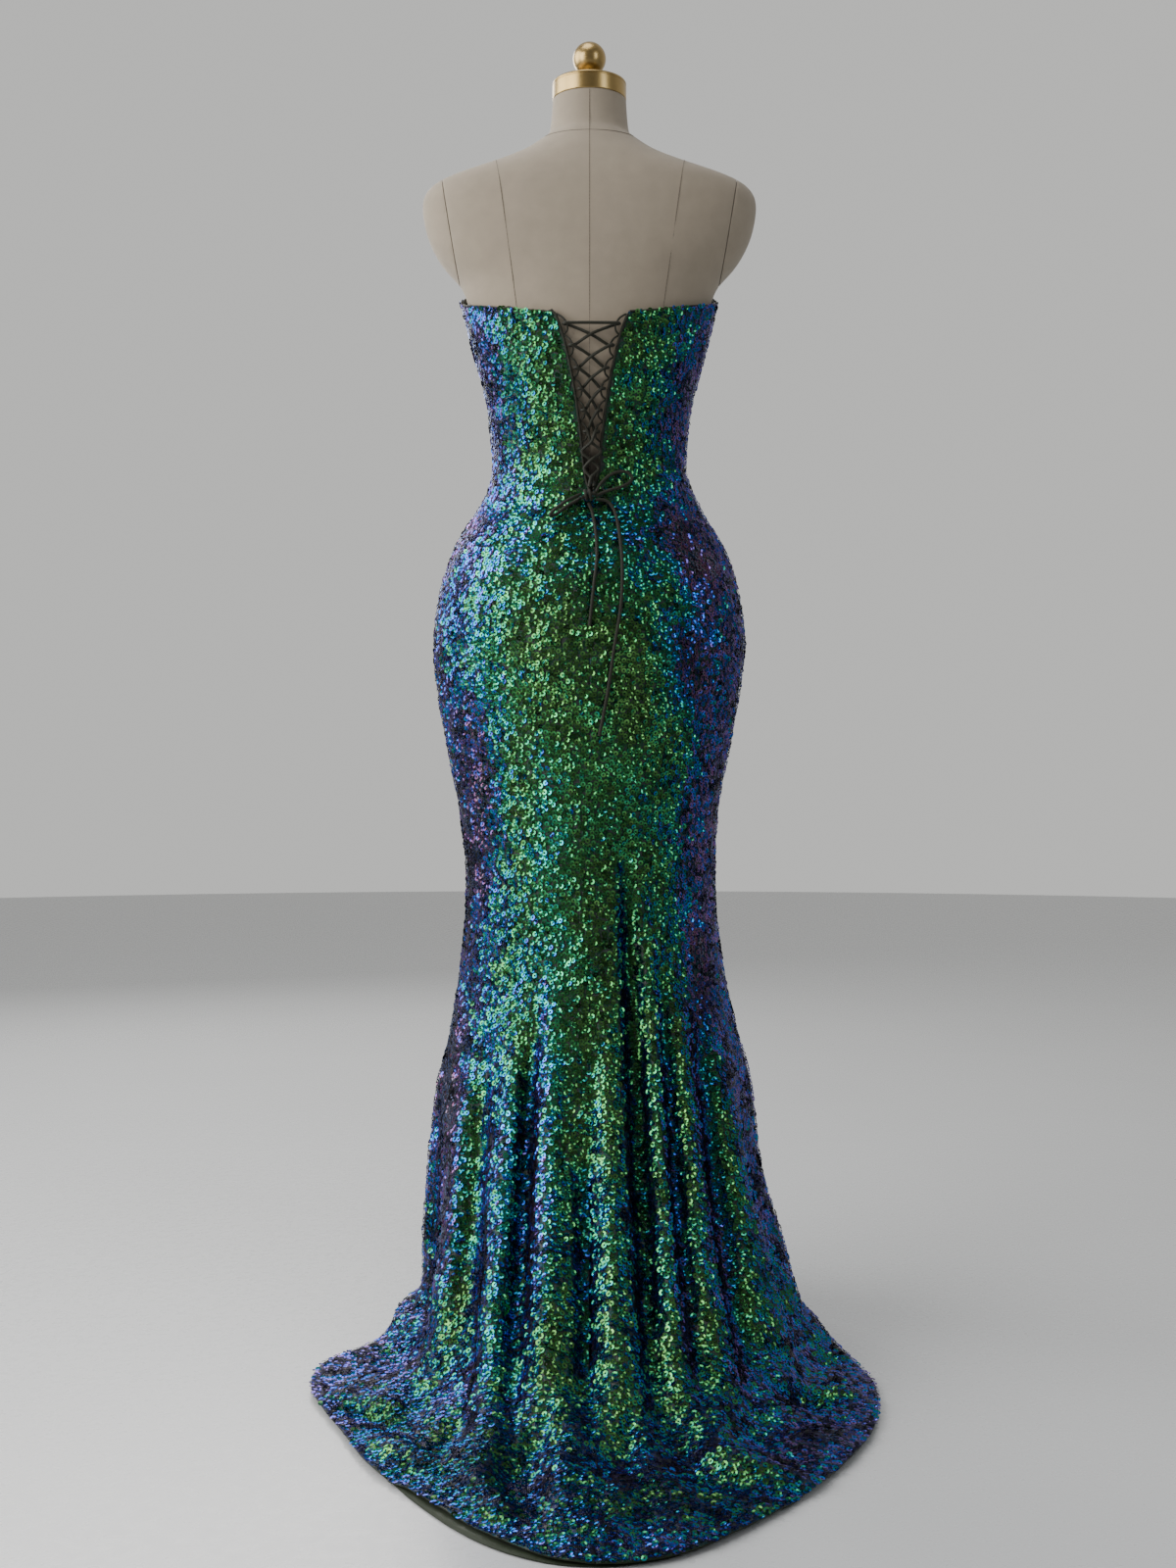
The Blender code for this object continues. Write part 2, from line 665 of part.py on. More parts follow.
def make_loop_strip(name, side):
    heights = loop_heights()
    points = []
    for top, bottom in zip(heights, heights[1:]):
        for step in range(LOOP_POINTS):
            part = step / LOOP_POINTS
            z = top + (bottom - top) * part
            bulge = math.sin(math.pi * part) ** LOOP_ROUNDNESS
            aside = v_half(z) - LOOP_CORD / 2 - GAP - LOOP_DEPTH * bulge
            lift = -CLOTH / 2 + (LOOP_TIP_LIFT + CLOTH / 2) * bulge
            points.append(back_point(V_CENTRE + side * aside, z, lift))
    end = v_half(heights[-1]) - LOOP_CORD / 2 - GAP
    points.append(back_point(V_CENTRE + side * end, heights[-1], -CLOTH / 2))
    cord_object(name, points, LOOP_CORD)


def hook_points(z, side, downwards):
    """Round the tip of a scallop, from under it to over it, or back where downwards is set."""
    tip = loop_tip(z, side)
    points = []
    for step in range(HOOK_POINTS):
        angle = math.radians(-90.0 + HOOK_SPREAD * step)
        aside = tip + side * HOOK_REACH * math.cos(angle)
        lift = LOOP_TIP_LIFT + HOOK_REACH * math.sin(angle)
        points.append(back_point(V_CENTRE + aside, z, lift))
    return points[::-1] if downwards else points


def lace_strand(side):
    """One half of the lace, from the top run to the knot."""
    points = []
    for level, (_, z, hooked, aside) in enumerate(LACE_ROWS):
        if hooked:
            points += hook_points(z, side, downwards=level == 0)
        elif level == len(LACE_ROWS) - 1:
            points.append(back_point(V_CENTRE + side * aside, z, KNOT_LIFT))
        else:
            for step in (TURN_HALF_HEIGHT, -TURN_HALF_HEIGHT):
                points.append(back_point(V_CENTRE + side * aside, z + step, LACE_ON_CLOTH))
        if level < len(LACE_ROWS) - 1:
            middle = (z + LACE_ROWS[level + 1][1]) / 2
            lies_on_cloth = not LACE_ROWS[level + 1][2]
            low = LACE_ON_CLOTH if lies_on_cloth else LACE_UNDER
            high = low + LACE + 2 * GAP
            points.append(back_point(V_CENTRE, middle, high if side < 0 else low))
        side = -side
    return points


def make_lacing():
    for name, side in (("left", 1), ("right", -1)):
        make_loop_strip(f"loop_strip_{name}", side)
    cord_object("lacing_cord", lace_strand(1)[::-1] + lace_strand(-1), LACE)


def bow_point(across, up, out):
    return back_point(KNOT_ACROSS + across, KNOT_HEIGHT + up, out)


def make_bow():
    bm = bmesh.new()
    bmesh.ops.create_uvsphere(bm, u_segments=16, v_segments=10, radius=1.0)
    centre = bow_point(0.0, 0.0, KNOT_LIFT)
    for v in bm.verts:
        v.co = centre + Vector([part * half for part, half in zip(v.co, KNOT_HALF)])
    mesh_object("bow_knot", bm, "olive_cord")
    for name, route, count in (
        ("bow_loop_right", BOW_LOOP_RIGHT, 18),
        ("bow_loop_left", BOW_LOOP_LEFT, 16),
        ("lace_tail_right", TAIL_RIGHT, 30),
        ("lace_tail_left", TAIL_LEFT, 17),
    ):
        cord_object(name, smooth_route([bow_point(*row) for row in route], count), LACE)


def make_facing():
    columns = 36
    turns = column(PEEK_ROWS, PEEK_COLUMNS, "turn")
    peeks = column(PEEK_ROWS, PEEK_COLUMNS, "peek")

    def place(across, down, inner):
        turn = turns[0] + (turns[-1] - turns[0]) * across / columns
        along = (hem_point(turn + NEAR_TURN) - hem_point(turn - NEAR_TURN)).normalized()
        outwards = Vector((-along.y, along.x, 0.0))
        reach = smooth_read(turns, peeks, turn) - FACING_WIDTH * (1 - down)
        return hem_point(turn) + outwards * reach + Vector((0, 0, 0.0 if inner else FACING))

    wall("hem_facing", columns, 1, place, "olive_lining")


def loft(name, rings, finish_name, sharp=40.0):
    """A closed solid through rings of as many points each, capped flat at both ends."""
    bm = bmesh.new()
    around = bm.verts.layers.int.new("around")
    ring = bmesh.ops.create_circle(bm, segments=len(rings[0]), radius=1.0)["verts"]
    for place, vert in enumerate(ring):
        vert[around] = place
        vert.co = rings[0][place]
    edges = bm.edges[:]
    for points in rings[1:]:
        made = bmesh.ops.extrude_edge_only(bm, edges=edges)["geom"]
        ring = [item for item in made if isinstance(item, bmesh.types.BMVert)]
        edges = [
            item for item in made
            if isinstance(item, bmesh.types.BMEdge) and item.verts[0] in ring and item.verts[1] in ring
        ]
        for vert in ring:
            vert.co = points[vert[around]]
    bmesh.ops.holes_fill(bm, edges=bm.edges[:], sides=0)
    return mesh_object(name, bm, finish_name, sharp)


def form_rings():
    """Sections of the whole form with its shoulders, from the rounded underside to the neck."""
    turns = [360.0 * step / FORM_SEGMENTS for step in range(FORM_SEGMENTS)]
    rings = []
    for drop, shrink in FORM_UNDERSIDE:
        low = [form_point(turn, FORM_Z[0]) for turn in turns]
        rings.append([Vector((p.x * shrink, p.y * shrink, FORM_Z[0] - drop)) for p in low])
    for z in FORM_HEIGHTS:
        rings.append([form_point(turn, z) for turn in turns])
    return rings


def arm_cutter(name, side, offset):
    """A block whose inner face is the arm's cut plane, moved out by the offset."""
    top = Vector((ARM_CUT_TOP[0], 0, ARM_CUT_TOP[1]))
    bottom = Vector((ARM_CUT_BOTTOM[0], 0, ARM_CUT_BOTTOM[1]))
    lean = math.atan2(top.x - bottom.x, top.z - bottom.z)
    outwards = Vector((math.cos(lean), 0, -math.sin(lean)))
    centre = (top + bottom) / 2 + outwards * (ARM_BLOCK[0] / 2 + offset)
    bm = bmesh.new()
    bmesh.ops.create_cube(bm, size=1.0)
    bmesh.ops.scale(bm, vec=ARM_BLOCK, verts=bm.verts[:])
    bmesh.ops.rotate(bm, cent=(0, 0, 0), matrix=Matrix.Rotation(lean, 3, "Y"), verts=bm.verts[:])
    bmesh.ops.translate(bm, vec=centre, verts=bm.verts[:])
    if side < 0:
        bmesh.ops.scale(bm, vec=(-1, 1, 1), verts=bm.verts[:])
    cutter = mesh_object(name, bm, "linen")
    cutter.hide_render = True
    cutter.display_type = "WIRE"
    return cutter


def cut(obj, cutter, operation):
    modifier = obj.modifiers.new(cutter.name, "BOOLEAN")
    modifier.operation = operation
    modifier.object = cutter


def make_form():
    torso = loft("form_torso", form_rings(), "linen")
    for name, side in (("left", 1), ("right", -1)):
        cut(torso, arm_cutter(f"cut_torso_{name}", side, 0.0), "DIFFERENCE")
        cap = loft(f"form_arm_cap_{name}", form_rings(), "linen")
        cut(cap, arm_cutter(f"cut_cap_{name}", side, ARM_SEAM), "INTERSECT")


def turned(name, profile, finish_name, steps=32):
    """A solid turned round the pole's axis from its profile of radius and height, bottom to top."""
    bm = bmesh.new()
    verts = [bm.verts.new((radius, 0.0, z)) for radius, z in profile]
    edges = [bm.edges.new(pair) for pair in zip(verts, verts[1:])]
    bmesh.ops.spin(
        bm, geom=verts + edges, cent=(0, 0, 0), axis=(0, 0, 1), angle=2 * math.pi,
        steps=steps, use_merge=True,
    )
    bmesh.ops.remove_doubles(bm, verts=bm.verts[:], dist=0.00001)
    return mesh_object(name, bm, finish_name, sharp=35.0)


def arc(centre, radius, start, end, steps):
    """Points of an arc in the profile's plane; angles in degrees, 0 pointing outwards."""
    angles = [math.radians(start + (end - start) * step / steps) for step in range(steps + 1)]
    return [(centre[0] + radius * math.cos(a), centre[1] + radius * math.sin(a)) for a in angles]


def make_neck_fittings():
    bottom = NECK_PLATE_BOTTOM
    top = NECK_PLATE_BOTTOM + NECK_PLATE_HEIGHT
    edge = NECK_PLATE_EDGE
    inset, crown = NECK_PLATE_SHOULDER
    plate = [(0.0, bottom), (NECK_PLATE_RADIUS, bottom), (NECK_PLATE_RADIUS, top - edge)]
    plate += arc((NECK_PLATE_RADIUS - edge, top - edge), edge, 15, 75, 3)
    plate += [(NECK_PLATE_RADIUS * inset, top + crown), (0.0, top + NECK_PLATE_CROWN)]
    turned("form_neck_plate", plate, "brass")
    foot = top + NECK_PLATE_CROWN + GAP
    centre = (0.0, FINIAL_TOP - BALL_RADIUS)
    finial = [(0.0, foot)]
    finial += [(radius, foot + height) for radius, height in FINIAL_FOOT]
    finial += arc(centre, BALL_RADIUS, *BALL_ARC)
    finial += [(0.0, FINIAL_TOP)]
    turned("form_finial", finial, "brass", steps=20)


def make_stand():
    rim = BASE_EDGE
    base = [(0.0, 0.0), (BASE_RADIUS, 0.0), (BASE_RADIUS, BASE_HEIGHT - rim)]
    base += arc((BASE_RADIUS - rim, BASE_HEIGHT - rim), rim, 30, 90, 2)
    base += [(0.0, BASE_HEIGHT)]
    turned("stand_base", base, "black_steel", steps=36)
    top = FORM_Z[0] - FORM_UNDERSIDE[0][0] - GAP
    foot = BASE_HEIGHT + GAP
    collar = foot + POLE_COLLAR_TOP
    pole = [(0.0, foot), (POLE_COLLAR_RADIUS, foot), (POLE_COLLAR_RADIUS, collar)]
    pole += [(POLE_RADIUS, collar + POLE_COLLAR_SLOPE), (POLE_RADIUS, top), (0.0, top)]
    turned("stand_pole", pole, "black_steel", steps=16)


def main():
    clear_scene()
    make_panels()
    make_facing()
    make_lacing()
    make_bow()
    make_form()
    make_neck_fittings()
    make_stand()


main()
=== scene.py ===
"""Sequined mermaid evening gown on a limbless dress form: its soft pieces, finishes and studio.

Metres, +Z up. The front of the gown faces -Y and the train runs out along +Y; left is the wearer's left, +X.
"""

import bisect
import json
import math

import bmesh
import bpy
import numpy as np
from mathutils import Vector, noise
from mathutils.bvhtree import BVHTree
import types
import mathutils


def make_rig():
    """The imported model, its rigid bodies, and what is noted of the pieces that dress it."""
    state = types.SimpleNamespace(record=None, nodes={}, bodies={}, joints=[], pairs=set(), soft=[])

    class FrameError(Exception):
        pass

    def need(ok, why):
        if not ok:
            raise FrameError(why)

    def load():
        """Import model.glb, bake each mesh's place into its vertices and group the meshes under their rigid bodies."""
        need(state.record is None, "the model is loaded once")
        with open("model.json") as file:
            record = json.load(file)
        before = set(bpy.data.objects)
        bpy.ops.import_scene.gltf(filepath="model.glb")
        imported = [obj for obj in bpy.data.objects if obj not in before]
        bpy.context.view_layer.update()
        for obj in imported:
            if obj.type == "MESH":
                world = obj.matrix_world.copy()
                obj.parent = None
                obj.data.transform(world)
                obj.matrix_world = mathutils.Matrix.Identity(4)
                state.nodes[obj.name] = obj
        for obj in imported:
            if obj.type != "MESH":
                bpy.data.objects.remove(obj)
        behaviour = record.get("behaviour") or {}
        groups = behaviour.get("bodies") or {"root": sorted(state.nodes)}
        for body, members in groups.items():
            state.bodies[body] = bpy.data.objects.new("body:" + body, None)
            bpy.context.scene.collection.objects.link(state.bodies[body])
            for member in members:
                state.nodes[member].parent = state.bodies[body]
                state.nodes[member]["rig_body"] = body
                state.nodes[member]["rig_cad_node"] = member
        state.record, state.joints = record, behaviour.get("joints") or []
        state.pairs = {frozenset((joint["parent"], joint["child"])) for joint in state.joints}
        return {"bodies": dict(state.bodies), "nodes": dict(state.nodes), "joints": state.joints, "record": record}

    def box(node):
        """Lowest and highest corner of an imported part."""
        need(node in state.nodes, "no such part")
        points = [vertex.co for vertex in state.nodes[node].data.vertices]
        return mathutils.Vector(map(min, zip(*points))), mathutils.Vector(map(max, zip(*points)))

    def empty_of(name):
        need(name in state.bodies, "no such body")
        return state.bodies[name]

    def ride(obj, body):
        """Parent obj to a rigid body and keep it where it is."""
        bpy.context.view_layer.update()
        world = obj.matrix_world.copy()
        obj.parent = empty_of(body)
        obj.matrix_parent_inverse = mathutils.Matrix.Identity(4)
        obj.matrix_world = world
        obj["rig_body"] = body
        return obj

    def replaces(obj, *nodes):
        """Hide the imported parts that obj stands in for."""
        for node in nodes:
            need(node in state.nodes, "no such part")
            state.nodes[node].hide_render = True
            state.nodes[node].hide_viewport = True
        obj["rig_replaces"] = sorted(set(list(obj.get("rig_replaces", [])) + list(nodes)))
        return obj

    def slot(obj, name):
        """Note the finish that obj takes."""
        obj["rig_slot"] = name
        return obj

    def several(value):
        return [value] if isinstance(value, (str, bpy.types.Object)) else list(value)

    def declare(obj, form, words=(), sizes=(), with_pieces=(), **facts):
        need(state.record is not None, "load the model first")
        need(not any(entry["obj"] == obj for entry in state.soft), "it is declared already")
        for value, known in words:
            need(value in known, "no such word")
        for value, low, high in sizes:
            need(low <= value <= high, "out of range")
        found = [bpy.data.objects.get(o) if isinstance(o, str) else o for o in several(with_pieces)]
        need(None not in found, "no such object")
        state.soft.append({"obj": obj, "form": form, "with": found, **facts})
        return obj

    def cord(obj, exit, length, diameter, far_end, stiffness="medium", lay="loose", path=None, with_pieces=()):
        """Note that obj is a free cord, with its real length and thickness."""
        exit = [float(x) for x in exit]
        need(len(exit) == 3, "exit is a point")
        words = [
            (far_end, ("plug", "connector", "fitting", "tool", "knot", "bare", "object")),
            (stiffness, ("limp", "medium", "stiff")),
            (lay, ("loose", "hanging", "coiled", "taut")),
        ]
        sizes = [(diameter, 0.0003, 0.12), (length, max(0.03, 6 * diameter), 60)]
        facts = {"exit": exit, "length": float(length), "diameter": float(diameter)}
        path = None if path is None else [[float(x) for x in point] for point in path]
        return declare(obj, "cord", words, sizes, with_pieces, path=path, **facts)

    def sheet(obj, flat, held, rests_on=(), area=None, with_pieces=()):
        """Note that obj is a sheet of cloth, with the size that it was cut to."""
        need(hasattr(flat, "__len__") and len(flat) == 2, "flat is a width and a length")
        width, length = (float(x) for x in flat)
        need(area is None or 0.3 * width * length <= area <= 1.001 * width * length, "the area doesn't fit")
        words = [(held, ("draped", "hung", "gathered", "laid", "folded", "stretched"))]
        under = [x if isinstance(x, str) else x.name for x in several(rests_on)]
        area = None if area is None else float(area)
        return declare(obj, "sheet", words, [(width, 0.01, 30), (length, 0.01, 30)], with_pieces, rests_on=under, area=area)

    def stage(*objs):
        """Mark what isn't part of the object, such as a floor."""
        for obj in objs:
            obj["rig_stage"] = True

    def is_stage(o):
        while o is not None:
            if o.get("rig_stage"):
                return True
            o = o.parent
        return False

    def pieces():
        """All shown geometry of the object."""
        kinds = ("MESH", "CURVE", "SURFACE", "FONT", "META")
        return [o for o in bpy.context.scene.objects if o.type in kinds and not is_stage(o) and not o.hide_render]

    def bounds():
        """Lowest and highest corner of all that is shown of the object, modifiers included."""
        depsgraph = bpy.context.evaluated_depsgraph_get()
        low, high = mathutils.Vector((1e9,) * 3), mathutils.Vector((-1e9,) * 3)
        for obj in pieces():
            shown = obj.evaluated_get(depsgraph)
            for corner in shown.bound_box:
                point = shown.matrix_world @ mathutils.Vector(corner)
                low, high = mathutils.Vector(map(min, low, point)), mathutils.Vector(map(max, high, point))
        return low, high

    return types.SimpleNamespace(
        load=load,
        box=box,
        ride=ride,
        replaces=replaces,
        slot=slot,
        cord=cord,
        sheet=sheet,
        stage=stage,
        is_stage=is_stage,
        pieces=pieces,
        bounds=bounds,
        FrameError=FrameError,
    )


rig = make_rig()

bl_info = {
    "name": "Sequined Evening Gown",
    "version": (1, 0, 0),
    "blender": (4, 5, 0),
    "location": "View3D > Sidebar > Gown",
    "description": "Builds a sequined mermaid gown with a laced back on its dress form",
    "category": "Object",
}

for leftover in list(bpy.data.objects):
    bpy.data.objects.remove(leftover, do_unlink=True)
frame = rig.load()
CAD_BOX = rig.bounds()

# ---------------------------------------------------------------- tables
# Each panel: its CAD node, and the flat width, length and area declared for its cut. The areas and most
# lengths agree with the cloth laid flat. The widths, but for the centre front's, and the centre backs'
# lengths are rough.
# Columns: name, node, width, length, area.
PANEL_ROWS = (
    ("cloth_centre_front", "panel_centre_front", 0.345, 1.330, 0.300),
    ("cloth_side_front_left", "panel_side_front_left", 0.250, 1.340, 0.191),
    ("cloth_side_front_right", "panel_side_front_right", 0.250, 1.340, 0.192),
    ("cloth_side_back_left", "panel_side_back_left", 0.420, 1.480, 0.228),
    ("cloth_side_back_right", "panel_side_back_right", 0.430, 1.480, 0.229),
    ("cloth_centre_back_left", "panel_centre_back_left", 0.400, 1.680, 0.202),
    ("cloth_centre_back_right", "panel_centre_back_right", 0.420, 1.690, 0.216),
)

# Soft creases set over the folds of the frame, as seen square on from one side: across and up,
# or on the floor across and back. depth is outwards where positive.
# Columns: name, side, from, to, half_width, depth.
CREASE_ROWS = (
    ("centre trough", "back", (0.008, 0.260), (0.003, 0.040), 0.009, -0.0055),
    ("left of centre ridge", "back", (0.044, 0.440), (0.048, 0.060), 0.012, 0.0045),
    ("left trough", "back", (0.066, 0.380), (0.083, 0.030), 0.009, -0.0075),
    ("left ridge", "back", (0.086, 0.360), (0.104, 0.040), 0.009, 0.0050),
    ("left seam trough", "back", (0.122, 0.370), (0.140, 0.030), 0.011, -0.0060),
    ("left outer ridge", "back", (0.142, 0.330), (0.166, 0.040), 0.011, 0.0050),
    ("left wing trough", "back", (0.164, 0.240), (0.196, 0.030), 0.010, -0.0050),
    ("right of centre ridge", "back", (-0.018, 0.400), (-0.023, 0.050), 0.010, 0.0045),
    ("right deep trough", "back", (-0.042, 0.620), (-0.066, 0.030), 0.010, -0.0090),
    ("right inner ridge", "back", (-0.070, 0.480), (-0.086, 0.040), 0.008, 0.0050),
    ("right inner trough", "back", (-0.084, 0.460), (-0.107, 0.030), 0.008, -0.0060),
    ("right ridge", "back", (-0.100, 0.440), (-0.128, 0.040), 0.009, 0.0045),
    ("right seam trough", "back", (-0.124, 0.440), (-0.160, 0.030), 0.010, -0.0070),
    ("right outer ridge", "back", (-0.148, 0.360), (-0.188, 0.040), 0.012, 0.0050),
    ("left side ridge", "left", (0.020, 0.360), (0.060, 0.050), 0.014, 0.0050),
    ("left side trough", "left", (-0.020, 0.340), (-0.010, 0.040), 0.012, -0.0055),
    ("left side front ridge", "left", (-0.055, 0.380), (-0.080, 0.030), 0.013, 0.0045),
    ("right side ridge", "right", (0.000, 0.380), (0.020, 0.050), 0.014, 0.0050),
    ("right side trough", "right", (0.035, 0.330), (0.075, 0.040), 0.012, -0.0055),
    ("right side front trough", "right", (-0.050, 0.350), (-0.070, 0.030), 0.012, -0.0045),
    ("left front ridge", "front", (0.120, 0.380), (0.150, 0.030), 0.013, 0.0050),
    ("left front trough", "front", (0.085, 0.360), (0.100, 0.030), 0.011, -0.0065),
    ("centre front ridge", "front", (0.035, 0.420), (0.045, 0.030), 0.014, 0.0050),
    ("centre front trough", "front", (-0.012, 0.370), (-0.018, 0.030), 0.010, -0.0060),
    ("right of front ridge", "front", (-0.055, 0.400), (-0.066, 0.030), 0.012, 0.0045),
    ("right front trough", "front", (-0.092, 0.430), (-0.118, 0.030), 0.010, -0.0065),
    ("right front ridge", "front", (-0.130, 0.350), (-0.160, 0.030), 0.013, 0.0050),
    ("left waist pull", "back", (0.112, 1.058), (0.052, 1.036), 0.008, -0.0016),
    ("left waist roll", "back", (0.110, 1.036), (0.060, 1.018), 0.008, 0.0014),
    ("right waist pull", "back", (-0.112, 1.050), (-0.050, 1.040), 0.008, -0.0016),
    ("right hip pull", "back", (-0.150, 0.945), (-0.060, 0.985), 0.010, -0.0016),
    ("left hip pull", "back", (0.155, 0.930), (0.070, 0.975), 0.010, -0.0016),
    ("front waist pull", "front", (0.070, 1.052), (-0.060, 1.046), 0.009, -0.0016),
    ("front hip pull", "front", (0.150, 0.940), (0.040, 0.980), 0.010, -0.0014),
    ("left wing furrow", "floor", (0.255, 0.345), (0.165, 0.440), 0.013, -0.0060),
    ("left wing roll", "floor", (0.285, 0.300), (0.180, 0.385), 0.014, 0.0100),
    ("left train lump", "floor", (0.112, 0.530), (0.078, 0.640), 0.015, 0.0110),
    ("left train furrow", "floor", (0.075, 0.520), (0.045, 0.640), 0.014, -0.0060),
    ("left rear roll", "floor", (0.215, 0.440), (0.150, 0.520), 0.014, 0.0100),
    ("centre lump", "floor", (-0.034, 0.520), (-0.022, 0.635), 0.016, 0.0110),
    ("centre furrow", "floor", (0.012, 0.520), (0.010, 0.600), 0.013, -0.0060),
    ("right train roll", "floor", (-0.100, 0.510), (-0.215, 0.545), 0.014, 0.0105),
    ("right train furrow", "floor", (-0.080, 0.545), (-0.200, 0.585), 0.013, -0.0050),
    ("right wing roll", "floor", (-0.190, 0.330), (-0.290, 0.300), 0.015, 0.0095),
    ("right wing furrow", "floor", (-0.190, 0.420), (-0.275, 0.380), 0.014, -0.0060),
    ("train end ripple", "floor", (-0.050, 0.655), (0.060, 0.660), 0.011, 0.0050),
)

# The sides from which creases and patches are placed: the two axes seen, and the depth that is near enough.
SIDE_VIEWS = {
    "back": ((0, 2), 1, 1.0, 0.01),
    "front": ((0, 2), 1, -1.0, 0.01),
    "left": ((1, 2), 0, 1.0, 0.05),
    "right": ((1, 2), 0, -1.0, 0.05),
    "floor": ((0, 1), 2, -1.0, -0.075),
}
